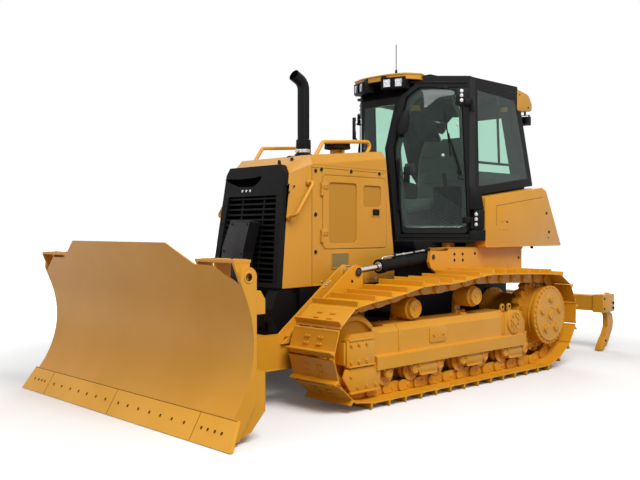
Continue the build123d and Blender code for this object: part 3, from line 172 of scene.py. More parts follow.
paints = {
    "machineYellow": (0.70, 0.318, 0.030),
    "shoeYellow": (0.74, 0.330, 0.024),
    "satinBlack": (0.0062, 0.0060, 0.0062),
    "softBlack": (0.0032, 0.0032, 0.0032),
}
machineYellow = enamel("machineYellow", paints["machineYellow"])
# a darker copy of the machine yellow for the hood, its doors and the roof covers: painted shade
shadedHoodYellow = enamel("shadedHoodYellow", (0.595, 0.280, 0.036), corner=0.012)
shoeYellow = enamel("shoeYellow", paints["shoeYellow"], gloss=0.38, drift=0.12, corner=0.0025)
satinBlack = enamel("satinBlack", paints["satinBlack"], gloss=0.42, peel=0.03, coat=0.0, shine=0.10)
mattBlack = enamel("mattBlack", paints["softBlack"], gloss=0.6, peel=0.08, coat=0.0, shine=0.15)
rubberBlack = enamel("rubberBlack", (0.008, 0.008, 0.008), gloss=0.65, peel=0.15, coat=0.0, shine=0.2)
castGrey = enamel("castGrey", (0.05, 0.05, 0.048), gloss=0.6, peel=0.3, coat=0.0, shine=0.2)
zincPlate = enamel("zincPlate", (0.52, 0.52, 0.50), gloss=0.3, peel=0.05, coat=0.0, metallic=0.9)
chromeRod = enamel("chromeRod", (0.66, 0.66, 0.67), gloss=0.1, drift=0.02, peel=0.0, corner=0.001, coat=0.0,
                   metallic=1.0)


def wornPaint(name, colour, amount, scale):
    material = enamel(name, colour, gloss=0.36, drift=0.1)
    tree = material.node_tree
    shader = tree.nodes["Principled BSDF"]
    wear = node(tree, "ShaderNodeGroup", node_tree=wearGroup)
    wear.inputs["Amount"].default_value = amount
    wear.inputs["Scale"].default_value = scale
    painted = shader.inputs["Base Color"].links[0].from_socket
    steel = (0.30, 0.26, 0.21, 1)
    tree.links.new(mixColour(tree, wear.outputs["Mask"], painted, steel), shader.inputs["Base Color"])
    tree.links.new(mathOf(tree, "MULTIPLY", wear.outputs["Mask"], 0.6), shader.inputs["Metallic"])
    return material


# a brighter copy of the machine yellow for the cutting edges: painted light, with rubbed patches of wear on top
litEdgeYellow = wornPaint("litEdgeYellow", (0.88, 0.42, 0.042), 0.18, 4.0)
treadSteel = wornPaint("treadSteel", paints["shoeYellow"], 0.35, 7.0)


def makeGlass(name, colour, rough):
    material, tree, shader = principled(name)
    shader.inputs["Base Color"].default_value = (*colour, 1)
    shader.inputs["Roughness"].default_value = rough
    shader.inputs["Transmission Weight"].default_value = 1.0
    shader.inputs["IOR"].default_value = 1.3
    # panes let light through, so the cab's inside isn't black
    clear = node(tree, "ShaderNodeBsdfTransparent", {"Color": (*colour, 1)})
    path = node(tree, "ShaderNodeLightPath")
    both = node(tree, "ShaderNodeMixShader", {0: path.outputs["Is Shadow Ray"], 1: shader.outputs[0],
                                              2: clear.outputs[0]})
    tree.links.new(both.outputs[0], tree.nodes["Material Output"].inputs["Surface"])
    return material


tintedGlass = makeGlass("tintedGlass", (0.62, 0.82, 0.72), 0.01)
lampGlass = makeGlass("lampGlass", (0.93, 0.95, 0.97), 0.06)


def makeCloth():
    material, tree, shader = principled("seatCloth")
    where = node(tree, "ShaderNodeTexCoord").outputs["Object"]
    weft = node(tree, "ShaderNodeTexWave", {"Vector": where, "Scale": 160.0, "Distortion": 0.4},
            bands_direction="Y")
    warp = node(tree, "ShaderNodeTexWave", {"Vector": where, "Scale": 160.0, "Distortion": 0.4},
            bands_direction="X")
    weave = mathOf(tree, "MAXIMUM", weft.outputs["Fac"], warp.outputs["Fac"])
    tree.links.new(mixColour(tree, weave, (0.012, 0.012, 0.014, 1), (0.05, 0.05, 0.055, 1)),
                   shader.inputs["Base Color"])
    bump = node(tree, "ShaderNodeBump", {"Strength": 0.5, "Distance": 0.001, "Height": weave})
    tree.links.new(bump.outputs["Normal"], shader.inputs["Normal"])
    shader.inputs["Roughness"].default_value = 0.9
    shader.inputs["Sheen Weight"].default_value = 0.3
    return material


seatCloth = makeCloth()

nodeFinish = {
    "main_frame": satinBlack, "cross_shafts": satinBlack, "deck_plates": machineYellow,
            "front_frame": satinBlack,
    "cowl": satinBlack, "engine_block": castGrey, "engine_hood": shadedHoodYellow, "grille": mattBlack,
    "exhaust_stack": satinBlack, "pre_cleaner": mattBlack, "hand_rails": machineYellow,
            "cab_frame": satinBlack,
    "cab_roof": satinBlack, "cab_glass": tintedGlass, "lamp_pods": machineYellow, "work_lamps": lampGlass,
    "cab_fittings": satinBlack, "controls": mattBlack, "seat": seatCloth, "tank_left": shadedHoodYellow,
    "tank_right": shadedHoodYellow, "tank_rear": shadedHoodYellow, "track_frames": machineYellow,
    "rollers_and_idlers": treadSteel, "sprockets": treadSteel, "final_drives": machineYellow,
    "track_left": shoeYellow, "track_right": shoeYellow, "ripper_bracket": machineYellow,
    "cab_door_left": satinBlack, "cab_door_right": satinBlack, "door_glass_left": tintedGlass,
    "door_glass_right": tintedGlass, "engine_door_left": shadedHoodYellow, "engine_door_right": shadedHoodYellow,
    "c_frame": machineYellow, "blade_yoke": machineYellow, "moldboard": machineYellow,
            "cutting_edges": litEdgeYellow,
    "blade_back": machineYellow, "lift_barrel_left": satinBlack, "lift_barrel_right": satinBlack,
    "lift_rod_left": chromeRod, "lift_rod_right": chromeRod, "angle_barrel_left": satinBlack,
    "angle_barrel_right": satinBlack, "angle_rod_left": chromeRod, "angle_rod_right": chromeRod,
    "tilt_barrel": satinBlack, "tilt_rod": chromeRod, "ripper": machineYellow, "ripper_barrel": satinBlack,
    "ripper_rod": chromeRod,
}
for nodeName, finish in nodeFinish.items():
    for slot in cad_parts[nodeName].material_slots:
        slot.material = finish
print("materials made")


# mesh helpers
scratch = bpy.data.meshes.new("scratch")


def merge(bm, part, index=0):
    # Adds part to bm with one material index.
    for face in part.faces:
        face.material_index = index
    part.to_mesh(scratch)
    part.free()
    bm.from_mesh(scratch)


def softEdges(part, width, segments=2, angle=30):
    if width <= 0:
        return
    bmesh.ops.remove_doubles(part, verts=part.verts, dist=1e-6)
    edges = [e for e in part.edges if len(e.link_faces) == 2 and e.calc_face_angle(0) > radians(angle)]
    if edges:
        bmesh.ops.bevel(part, geom=edges, offset=width, offset_type="OFFSET", affect="EDGES",
                segments=segments,
                        profile=0.5, material=-1, clamp_overlap=True)


def addBox(bm, low, high, width=0.003, index=0, turn=None):
    part = bmesh.new()
    bmesh.ops.create_cube(part, size=1)
    low, high = Vector(low), Vector(high)
    size = high - low
    bmesh.ops.scale(part, vec=[abs(v) for v in size], verts=part.verts)
    softEdges(part, width)
    if turn:
        bmesh.ops.rotate(part, cent=(0, 0, 0), matrix=turn.to_3x3(), verts=part.verts)
    bmesh.ops.translate(part, vec=(low + high) / 2, verts=part.verts)
    merge(bm, part, index)


axisTurn = {"x": Vector((1, 0, 0)), "y": Vector((0, 1, 0)), "z": Vector((0, 0, 1))}


def addRod(bm, start, end, radius, width=0.0, index=0, sides=24, endRadius=None):
    part = bmesh.new()
    start, end = Vector(start), Vector(end)
    run = end - start
    bmesh.ops.create_cone(part, cap_ends=True, segments=sides, radius1=radius,
                          radius2=radius if endRadius is None else endRadius, depth=run.length)
    softEdges(part, width, 2, 40)
    turn = run.to_track_quat("Z", "Y").to_matrix()
    bmesh.ops.rotate(part, cent=(0, 0, 0), matrix=turn, verts=part.verts)
    bmesh.ops.translate(part, vec=(start + end) / 2, verts=part.verts)
    merge(bm, part, index)


def addBolt(bm, place, normal, size=0.012, height=None, washer=1.45, index=0):
    # Hex head on a washer.
    place, normal = Vector(place), Vector(normal).normalized()
    height = height or size * 0.8
    part = bmesh.new()
    bmesh.ops.create_cone(part, cap_ends=True, segments=6, radius1=size, radius2=size, depth=height)
    softEdges(part, size * 0.12, 1, 40)
    bmesh.ops.translate(part, vec=(0, 0, height / 2 + size * 0.15), verts=part.verts)
    if washer:
        disc = bmesh.new()
        bmesh.ops.create_cone(disc, cap_ends=True, segments=16, radius1=size * washer,
                radius2=size * washer * 0.95,
                              depth=size * 0.3)
        merge(part, disc)
    bmesh.ops.rotate(part, cent=(0, 0, 0), matrix=normal.to_track_quat("Z", "Y").to_matrix(),
            verts=part.verts)
    bmesh.ops.translate(part, vec=place, verts=part.verts)
    merge(bm, part, index)


def addSlab(bm, outline, plane, low, high, width=0.003, index=0, segments=2):
    # A flat outline given thickness along the axis that its plane leaves out.
    place = {"xz": lambda a, b: (a, low, b), "xy": lambda a, b: (a, b, low), "yz": lambda a, b: (low, a,
            b)}[plane]
    push = {"xz": (0, 1, 0), "xy": (0, 0, 1), "yz": (1, 0, 0)}[plane]
    part = bmesh.new()
    face = part.faces.new([part.verts.new(place(*p)) for p in outline])
    grown = bmesh.ops.extrude_face_region(part, geom=[face])
    moved = [v for v in grown["geom"] if isinstance(v, bmesh.types.BMVert)]
    bmesh.ops.translate(part, vec=Vector(push) * (high - low), verts=moved)
    bmesh.ops.recalc_face_normals(part, faces=part.faces)
    softEdges(part, width, segments)
    merge(bm, part, index)


def addSpin(bm, profile, centre, axis="y", steps=48, index=0, side=1):
    # A turned piece: profile is (radius, distance along the axis).
    part = bmesh.new()
    along = axisTurn[axis] * side
    out = Vector((0, 0, 1)) if axis != "z" else Vector((1, 0, 0))
    verts = [part.verts.new(out * r + along * d) for r, d in profile]
    for a, b in zip(verts, verts[1:]):
        part.edges.new((a, b))
    bmesh.ops.spin(part, geom=part.verts[:] + part.edges[:], cent=(0, 0, 0), axis=along, angle=2 * pi,
            steps=steps,
                   use_merge=True)
    bmesh.ops.remove_doubles(part, verts=part.verts, dist=1e-5)
    bmesh.ops.recalc_face_normals(part, faces=part.faces)
    bmesh.ops.translate(part, vec=centre, verts=part.verts)
    merge(bm, part, index)


def stamp(bm, mesh, matrix):
    start = len(bm.verts)
    bm.from_mesh(mesh)
    bm.verts.ensure_lookup_table()
    bmesh.ops.transform(bm, matrix=matrix, verts=bm.verts[start:])


def mirrored(bm):
    # Adds the other side's copy across the middle plane.
    geom = bm.verts[:] + bm.edges[:] + bm.faces[:]
    copy = bmesh.ops.duplicate(bm, geom=geom)["geom"]
    verts = [v for v in copy if isinstance(v, bmesh.types.BMVert)]
    faces = [f for f in copy if isinstance(f, bmesh.types.BMFace)]
    bmesh.ops.scale(bm, vec=(1, -1, 1), verts=verts)
    bmesh.ops.reverse_faces(bm, faces=faces)


def addPiece(name, bm, finishes, body, replaced=(), angle=35):
    mesh = bpy.data.meshes.new(name)
    bm.to_mesh(mesh)
    bm.free()
    for finish in finishes if isinstance(finishes, (list, tuple)) else [finishes]:
        mesh.materials.append(finish)
    mesh.polygons.foreach_set("use_smooth", [True] * len(mesh.polygons))
    mesh.set_sharp_from_angle(angle=radians(angle))
    piece = bpy.data.objects.new(name, mesh)
    scene.collection.objects.link(piece)
    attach(piece, body)
    if replaced:
        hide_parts(*replaced)
    return piece


# tracks
gear = {
    "chainY": 1.022, "shoeWidth": 0.516, "pitch": 0.203, "plate": 0.010, "pinToPlate": 0.044,
        "railDrop": 0.047,
    "grouser": 0.046, "firstPinX": 1.468, "idlerX": 1.523, "idlerTread": 0.288, "sprocketX": -1.282,
    "sprocketZ": 0.553, "sprocketPitch": 0.374, "liftOffX": -1.250,
    "topRun": [(-0.732, 0.948), (-0.103, 0.966), (0.368, 0.905), (0.791, 0.908), (1.150, 0.838)],
}
pinLow = gear["pinToPlate"] + gear["plate"] + gear["grouser"]
idlerPin = hypot(gear["idlerTread"] + gear["railDrop"], gear["pitch"] / 2)
idlerZ = pinLow + idlerPin


def chainRuns():
    # Straight runs as (start, end), wraps as (centre, radius, first angle, swept angle)
    sx, sz, sr, ix = gear["sprocketX"], gear["sprocketZ"], gear["sprocketPitch"], gear["idlerX"]
    reach = hypot(gear["liftOffX"] - sx, pinLow - sz)
    leave = atan2(pinLow - sz, gear["liftOffX"] - sx) - acos(sr / reach)
    meet = (sx + sr * cos(leave), sz + sr * sin(leave))
    runs = [("line", (ix, pinLow), (gear["liftOffX"], pinLow)), ("line", (gear["liftOffX"], pinLow), meet)]
    runs.append(("wrap", (sx, sz), sr, leave, -(leave % (2 * pi) - pi / 2)))
    top = [(sx, sz + sr), *gear["topRun"], (ix, idlerZ + idlerPin)]
    runs += [("line", a, b) for a, b in zip(top, top[1:])]
    runs.append(("wrap", (ix, idlerZ), idlerPin, pi / 2, -pi))
    return runs


def runLength(run):
    return hypot(run[2][0] - run[1][0], run[2][1] - run[1][1]) if run[0] == "line" else abs(run[4]) * run[2]


def alongChain(runs, distance):
    for run in runs:
        length = runLength(run)
        if distance <= length:
            part = distance / length
            if run[0] == "line":
                return tuple(a + (b - a) * part for a, b in zip(run[1], run[2]))
            turn = run[3] + run[4] * part
            return run[1][0] + run[2] * cos(turn), run[1][1] + run[2] * sin(turn)
        distance -= length
    return runs[0][1]


chain = chainRuns()
chainLength = sum(runLength(run) for run in chain)
shoeCount = round(chainLength / gear["pitch"])
pins = [alongChain(chain, (gear["idlerX"] - gear["firstPinX"] + i * chainLength / shoeCount) % chainLength)
        for i in range(shoeCount)]


def linkMatrix(a, b, y):
    # Link frame: x runs from a to b, z points out of the loop.
    length = hypot(b[0] - a[0], b[1] - a[1])
    tx, tz = (b[0] - a[0]) / length, (b[1] - a[1]) / length
    return Matrix(((tx, 0, -tz, a[0]), (0, 1, 0, y), (tz, 0, tx, a[1]), (0, 0, 0, 1)))


def linkMeshes():
    half, link = gear["shoeWidth"] / 2, chainLength / shoeCount
    out = gear["pinToPlate"] + gear["plate"]
    shoe = bmesh.new()
    # plate with a rolled rear lip and one grouser
    addSlab(shoe, [
        (0.004, 0.044), (link - 0.004, 0.044), (link + 0.010, 0.036), (link + 0.014, 0.044), (link - 0.006,
                out),
        (link - 0.012, out + gear["grouser"]), (link - 0.024, out + gear["grouser"]), (link - 0.034, out),
        (0.030, out), (0.010, out + 0.005), (-0.003, out + 0.002),
    ], "xz", -half, half, 0.0025, segments=1)
    for y in (-0.090, -0.058, 0.058, 0.090):
        for x in (0.070, 0.125):
            addBolt(shoe, (x, y, out), (0, 0, 1), 0.0125, washer=0)
    steel = bmesh.new()
    drop = gear["railDrop"]
    for side in (-1, 1):
        for low, high, first, last in ((0.055, 0.073, -0.034, 0.118), (0.073, 0.092, 0.086, link + 0.034)):
            y0, y1 = sorted((side * low, side * high))
            addSlab(steel, [
                (first, -0.016), (first + 0.016, -0.036), (first + 0.040, -drop), (last - 0.040, -drop),
                (last - 0.016, -0.036), (last, -0.016), (last, 0.020), (last - 0.018, 0.042),
                        (first + 0.018, 0.042),
                (first, 0.020),
            ], "xz", y0, y1, 0.002, segments=1)
    addRod(steel, (0, -0.098, 0), (0, 0.098, 0), 0.019, 0.002, sides=16)
    addRod(steel, (0, -0.054, 0), (0, 0.054, 0), 0.028, sides=20)
    meshes = []
    for name, part in (("shoeForm", shoe), ("linkForm", steel)):
        mesh = bpy.data.meshes.new(name)
        part.to_mesh(mesh)
        part.free()
        meshes.append(mesh)
    return meshes


shoeForm, linkForm = linkMeshes()
for sideName, side in (("left", 1), ("right", -1)):
    shoes, links = bmesh.new(), bmesh.new()
    for i in range(shoeCount):
        place = linkMatrix(pins[i - 1], pins[i], side * gear["chainY"])
        stamp(shoes, shoeForm, place)
        stamp(links, linkForm, place)
    addPiece(f"trackShoes_{sideName}", shoes, shoeYellow, "tractor", (f"track_{sideName}",),
            25)
    addPiece(f"trackLinks_{sideName}", links, treadSteel, "tractor")
print("tracks made", shoeCount)

# wheels of the running gear
wheels = {
    "y": 1.022, "frameIn": 0.882, "frameOut": 1.160, "rollerZ": 0.2353,
    "rollerX": [1.170, 0.828, 0.486, 0.144, -0.198, -0.540, -0.882],
    "carriers": [(0.791, 0.748), (-0.103, 0.806)], "idler": (1.523, 0.450), "drive": (-1.282, 0.553),
}


def ringOfBolts(bm, centre, radius, count, size, first=0.0, index=0, washer=1.4, normal=(0, 1, 0)):
    for i in range(count):
        turn = first + 2 * pi * i / count
        place = (centre[0] + radius * cos(turn), centre[1], centre[2] + radius * sin(turn))
        addBolt(bm, place, normal, size, washer=washer, index=index)


def makeWheels():
    bm = bmesh.new()
    half = [(0.060, 0.103), (0.092, 0.103), (0.098, 0.088), (0.112, 0.066), (0.222, 0.056), (0.240, 0.066),
            (0.248, 0.088), (0.252, 0.091), (0.283, 0.091), (0.2875, 0.086), (0.2875, 0.057), (0.304, 0.049),
            (0.312, 0.042)]
    ix, iz = wheels["idler"]
    addSpin(bm, [(r, -d) for r, d in half] + [(r, d) for r, d in reversed(half)], (ix, wheels["y"], iz),
            steps=72)
    addRod(bm, (ix, wheels["y"] - 0.103, iz), (ix, wheels["y"] + 0.103, iz), 0.061, sides=32)
    half = [(0.034, 0.104), (0.050, 0.104), (0.054, 0.096), (0.070, 0.0955), (0.100, 0.104), (0.104, 0.101),
            (0.104, 0.0955), (0.088, 0.0935), (0.0875, 0.055), (0.100, 0.050), (0.103, 0.044), (0.103, 0.030),
            (0.078, 0.022)]
    for x in wheels["rollerX"]:
        addSpin(bm, [(r, -d) for r, d in half] + [(r, d) for r, d in reversed(half)],
                (x, wheels["y"], wheels["rollerZ"]), steps=36)
        addRod(bm, (x, 0.914, wheels["rollerZ"]), (x, 1.128, wheels["rollerZ"]), 0.034, sides=20)
    # carrier rollers: a cupped end cap with a plug
    cup = [(0.034, -0.100), (0.066, -0.098), (0.072, -0.088), (0.092, -0.088), (0.0995, -0.082), (0.0995,
            -0.058),
           (0.0995, 0.066), (0.097, 0.082), (0.088, 0.088), (0.082, 0.092), (0.080, 0.118), (0.078, 0.1215),
           (0.070, 0.1215), (0.067, 0.113), (0.030, 0.112), (0.028, 0.109), (0.016, 0.109), (0.015, 0.118),
           (0.0, 0.119)]
    for x, z in wheels["carriers"]:
        addSpin(bm, cup, (x, wheels["y"], z), steps=48)
        addRod(bm, (x, 0.914, z), (x, 0.934, z), 0.034, sides=20)
        ringOfBolts(bm, (x, 1.135, z), 0.050, 3, 0.006, 0.5, washer=0)
    mirrored(bm)
    return addPiece("wheelSet", bm, treadSteel, "tractor", ("rollers_and_idlers",))


makeWheels()


def makeDrives():
    bm = bmesh.new()
    dx, dz = wheels["drive"]
    # cover rim with its ring of bolts, planet plugs and a ribbed housing
    ringOfBolts(bm, (dx, 1.2105, dz), 0.2845, 32, 0.0105, index=1, washer=1.25)
    for turn in [pi / 2 + 2 * pi * i / 5 for i in range(5)]:
        px, pz = dx + 0.165 * cos(turn), dz + 0.165 * sin(turn)
        addSpin(bm, [(0.034, 0.0), (0.034, 0.012), (0.028, 0.0175), (0.020, 0.0175), (0.018, 0.010),
                (0.0, 0.010)],
                (px, 1.222, pz), steps=28)
        addBolt(bm, (px, 1.2320, pz), (0, 1, 0), 0.011, washer=0, index=1)
        addSpin(bm, [(0.060, 0.0), (0.058, 0.003), (0.040, 0.003), (0.038, 0.0)], (px, 1.2215, pz), steps=32)
    addSpin(bm, [(0.046, 0.0), (0.044, 0.014), (0.034, 0.018), (0.024, 0.018), (0.022, 0.011), (0.0, 0.011)],
            (dx, 1.222, dz), steps=32)
    addSpin(bm, [(0.086, 0.0), (0.084, 0.004), (0.078, 0.004), (0.076, 0.0)], (dx, 1.2215, dz), steps=48)
    addSpin(bm, [(0.262, 0.0), (0.260, 0.003), (0.250, 0.003), (0.248, 0.0)], (dx, 1.2215, dz), steps=64)
    addSpin(bm, [(0.280, -0.046), (0.288, -0.044), (0.288, -0.034), (0.280, -0.032)], (dx, 1.172, dz),
            steps=64)
    addSpin(bm, [(0.280, -0.010), (0.290, -0.007), (0.290, 0.006), (0.280, 0.008)], (dx, 1.172, dz), steps=64)
    # sprocket segments: seams and bolts beside the hub
    ringOfBolts(bm, (dx, 1.0615, dz), 0.318, 25, 0.013, 0.06, index=1)
    ringOfBolts(bm, (dx, 0.9825, dz), 0.318, 25, 0.013, 0.06, index=1, normal=(0, -1, 0))
    for i in range(5):
        turn = 2 * pi * i / 5 + 0.2
        a = (dx + 0.283 * cos(turn), 1.0612, dz + 0.283 * sin(turn))
        b = (dx + 0.345 * cos(turn), 1.0612, dz + 0.345 * sin(turn))
        addRod(bm, a, b, 0.0022, sides=8, index=2)
    # inner housing: bolted flange and ribs
    addSpin(bm, [(0.205, 0.0), (0.236, 0.001), (0.236, 0.024), (0.205, 0.026)], (dx, 0.840, dz), steps=56)
    ringOfBolts(bm, (dx, 0.8395, dz), 0.222, 18, 0.011, index=1, normal=(0, -1, 0))
    addSpin(bm, [(0.205, 0.0), (0.250, 0.001), (0.250, 0.030), (0.205, 0.032)], (dx, 0.505, dz), steps=56)
    ringOfBolts(bm, (dx, 0.5365, dz), 0.229, 20, 0.012, index=1)
    mirrored(bm)
    return addPiece("driveDetails", bm, [machineYellow, shoeYellow, mattBlack], "tractor")


makeDrives()


def roundedPlate(x0, x1, z0, z1, r, steps=5):
    outline = []
    for cx, cz, start in ((x1 - r, z1 - r, 0), (x0 + r, z1 - r, pi / 2), (x0 + r, z0 + r, pi), (x1 - r,
            z0 + r, 1.5 * pi)):
        outline += [(cx + r * cos(start + pi / 2 * i / steps), cz + r * sin(start + pi / 2 * i / steps))
                    for i in range(steps + 1)]
    return outline


def makeFrameDetails():
    bm = bmesh.new()
    face = wheels["frameOut"]
    # inspection cover, joint of the telescoping front, and the rear section's flange
    addSlab(bm, roundedPlate(0.394, 0.628, 0.436, 0.580, 0.026), "xz", face - 0.002, face + 0.009, 0.003)
    for x in (0.438, 0.575):
        addBolt(bm, (x, face + 0.009, 0.507), (0, 1, 0), 0.0125, index=1)
    for x, wide, out in ((1.030, 0.022, 0.006), (-0.505, 0.026, 0.007)):
        addBox(bm, (x - wide / 2, face - 0.003, 0.408), (x + wide / 2, face + out, 0.584), 0.002)
        addBox(bm, (x - wide / 2, 0.922, 0.639), (x + wide / 2, 1.120, 0.642 + out), 0.002)
        slope = hypot(0.042, 0.060)
        addBox(bm, (x - wide / 2, 1.139 - 0.004, 0.612 - slope / 2), (x + wide / 2, 1.139 + out,
                0.612 + slope / 2),
               0.001, turn=Matrix.Rotation(atan2(0.042, 0.060), 3, "X"))
    addBox(bm, (1.0185, face + 0.0005, 0.410), (1.0195, face + 0.0035, 0.582), 0, index=2)
    # small slot beside the idler block, drawn as a black box on the face: painted shade in place of the opening
    addBox(bm, (1.312, face - 0.002, 0.385), (1.320, face + 0.002, 0.492), 0, index=2)
    # idler block with three bolts along each edge, and the guard under it
    addBox(bm, (1.372, 1.150, 0.345), (1.690, 1.192, 0.556), 0.006)
    addBox(bm, (1.362, 1.150, 0.548), (1.672, 1.200, 0.566), 0.004)
    addBox(bm, (1.362, 1.150, 0.338), (1.672, 1.200, 0.352), 0.004)
    for x in (1.464, 1.556, 1.645):
        addBolt(bm, (x, 1.192, 0.520), (0, 1, 0), 0.0145, index=1)
        addBolt(bm, (x, 1.192, 0.380), (0, 1, 0), 0.0145, index=1)
    addBox(bm, (1.690, 1.060, 0.362), (1.712, 1.178, 0.540), 0.006)
    addSlab(bm, [(1.285, 0.330), (1.700, 0.330), (1.728, 0.262), (1.640, 0.142), (1.300, 0.142)], "xz",
            1.166, 1.184, 0.004)
    addBox(bm, (1.300, 1.160, 0.126), (1.650, 1.196, 0.144), 0.004)
    for x in (1.355, 1.460, 1.565):
        addBolt(bm, (x, 1.184, 0.176), (0, 1, 0), 0.0125, index=1)
    addBolt(bm, (1.640, 1.184, 0.268), (0, 1, 0), 0.0125, index=1)
    # pivot cap behind the beam, its bolts and the lifting eyes above
    px, pz = -0.668, 0.527
    addSlab(bm, [(-0.520, 0.380), (-0.520, 0.606), (-0.600, 0.648), (-0.770, 0.636), (-0.872, 0.520),
            (-0.872, 0.380)],
            "xz", face - 0.004, face + 0.014, 0.004)
    addSpin(bm, [(0.116, 0.0), (0.112, 0.020), (0.088, 0.026), (0.084, 0.020), (0.036, 0.020), (0.034, 0.030),
                 (0.0, 0.031)], (px, face + 0.010, pz), steps=48)
    ringOfBolts(bm, (px, face + 0.033, pz), 0.062, 8, 0.0115, 0.3, index=1, washer=0)
    for x in (-0.585, -0.700):
        ear = [(x - 0.032, 0.630), (x - 0.032, 0.672)] + [
            (x - 0.032 * cos(pi * i / 8), 0.672 + 0.032 * sin(pi * i / 8)) for i in range(1, 8)] + [
            (x + 0.032, 0.672), (x + 0.032, 0.630)]
        addSlab(bm, ear, "xz", 1.086, 1.106, 0.003)
        # painted shade: a black rod through each eye shows as a dark disc where its hole would be
        addRod(bm, (x, 1.084, 0.672), (x, 1.108, 0.672), 0.013, index=2, sides=20)
    # chain guides and roller ends along the lower flange
    for x in wheels["rollerX"]:
        for low, high in ((1.156, 1.166),):
            addSlab(bm, [(x - 0.062, 0.300), (x - 0.062, 0.262), (x - 0.036, 0.196), (x + 0.036, 0.196),
                         (x + 0.062, 0.262), (x + 0.062, 0.300)], "xz", low, high, 0.003)
        addSpin(bm, [(0.044, 0.0), (0.042, 0.014), (0.026, 0.020), (0.024, 0.014), (0.0, 0.014)],
                (x, 1.162, wheels["rollerZ"]), steps=28)
        for sign in (-1, 1):
            addBolt(bm, (x + sign * 0.047, 1.166, 0.270), (0, 1, 0), 0.0115, index=1)
    for x in (0.660, -0.020, -0.700):
        addSlab(bm, [(x - 0.150, 0.292), (x + 0.150, 0.292), (x + 0.118, 0.182), (x - 0.118, 0.182)], "xz",
                1.166, 1.178, 0.003)
        addSlab(bm, [(x - 0.116, 0.262), (x + 0.116, 0.262), (x + 0.098, 0.206), (x - 0.098, 0.206)], "xz",
                1.176, 1.181, 0.002)
        for sign in (-1, 1):
            addBolt(bm, (x + sign * 0.128, 1.178, 0.268), (0, 1, 0), 0.0115, index=1)
        addBox(bm, (x - 0.112, 1.140, 0.172), (x + 0.112, 1.190, 0.188), 0.004)
    # bolts that hold the rollers, seen from under the flange
    for x in wheels["rollerX"]:
        for sign in (-1, 1):
            addBolt(bm, (x + sign * 0.075, 1.181, 0.284), (0, 0, -1), 0.011, index=1)
    # brackets behind the carrier rollers and the recoil housing's filler cap
    for x, z in wheels["carriers"]:
        addBox(bm, (x - 0.072, 0.900, 0.640), (x + 0.072, 0.960, 0.660), 0.004)
        for sign in (-1, 1):
            addBolt(bm, (x + sign * 0.054, 0.944, 0.660), (0, 0, 1), 0.0125, index=1)
    addSpin(bm, [(0.036, 0.0), (0.036, 0.012), (0.026, 0.018), (0.0, 0.019)], (0.010, 1.060, 0.640), "z", 28)
    mirrored(bm)
    return addPiece("frameDetails", bm, [machineYellow, shoeYellow, mattBlack], "tractor")


makeFrameDetails()
print("running gear dressed")

# hood, grille, stack
def joinAt(bm, part, matrix):
    # Adds a piece built about its own origin, turned and moved into place.
    bmesh.ops.transform(part, matrix=matrix, verts=part.verts)
    part.to_mesh(scratch)
    part.free()
    bm.from_mesh(scratch)


def roundOff(points, r, steps=5):
    # The outline with its corners rounded.
    outline = []
    for i, spot in enumerate(points):
        spot = Vector(spot)
        before, after = Vector(points[i - 1]) - spot, Vector(points[(i + 1) % len(points)]) - spot
        reach = min(r / max(0.2, (before.angle(after) / 2)), before.length * 0.48, after.length * 0.48)
        start, end = spot + before.normalized() * reach, spot + after.normalized() * reach
        for k in range(steps + 1):
            s = k / steps
            outline.append(tuple(start * (1 - s) ** 2 + spot * 2 * s * (1 - s) + end * s * s))
    return outline


def addPlate(bm, outline, holes, plane, low, high, width=0.002, index=0):
    # A flat plate with holes through it.
    place = {"xz": lambda a, b: (a, low, b), "xy": lambda a, b: (a, b, low), "yz": lambda a, b: (low, a,
            b)}[plane]
    push = {"xz": (0, 1, 0), "xy": (0, 0, 1), "yz": (1, 0, 0)}[plane]
    part = bmesh.new()
    for loop in (outline, *holes):
        verts = [part.verts.new(place(*p)) for p in loop]
        for a, b in zip(verts, verts[1:] + verts[:1]):
            part.edges.new((a, b))
    bmesh.ops.triangle_fill(part, use_beauty=True, use_dissolve=False, edges=part.edges[:])
    grown = bmesh.ops.extrude_face_region(part, geom=part.faces[:])
    moved = [v for v in grown["geom"] if isinstance(v, bmesh.types.BMVert)]
    bmesh.ops.translate(part, vec=Vector(push) * (high - low), verts=moved)
    bmesh.ops.recalc_face_normals(part, faces=part.faces)
    softEdges(part, width, 1, 60)
    merge(bm, part, index)


def addPipe(bm, points, radius, index=0, sides=12, bend=0.0, steps=6):
    # A round bar swept along straight runs with rounded corners.
    route = [Vector(p) for p in points]
    if bend:
        smooth = [route[0]]
        for i in range(1, len(route) - 1):
            before, after = route[i - 1] - route[i], route[i + 1] - route[i]
            reach = min(bend, before.length * 0.48, after.length * 0.48)
            start, end = route[i] + before.normalized() * reach, route[i] + after.normalized() * reach
            smooth += [start * (1 - k / steps) ** 2 + route[i] * 2 * k / steps * (1 - k / steps) + end * (k / steps) ** 2
                       for k in range(steps + 1)]
        route = smooth + [route[-1]]
    part = bmesh.new()
    rings = []
    side = None
    for i, spot in enumerate(route):
        along = (route[min(i + 1, len(route) - 1)] - route[max(i - 1, 0)]).normalized()
        side = along.orthogonal().normalized() if side is None else (side - along * side.dot(along)).normalized()
        other = along.cross(side)
        rings.append([part.verts.new(spot + (side * cos(2 * pi * k / sides) + other * sin(2 * pi * k / sides)) * radius)
                      for k in range(sides)])
    for a, b in zip(rings, rings[1:]):
        for k in range(sides):
            part.faces.new((a[k], a[(k + 1) % sides], b[(k + 1) % sides], b[k]))
    part.faces.new(rings[0][::-1])
    part.faces.new(rings[-1])
    bmesh.ops.recalc_face_normals(part, faces=part.faces)
    merge(bm, part, index)


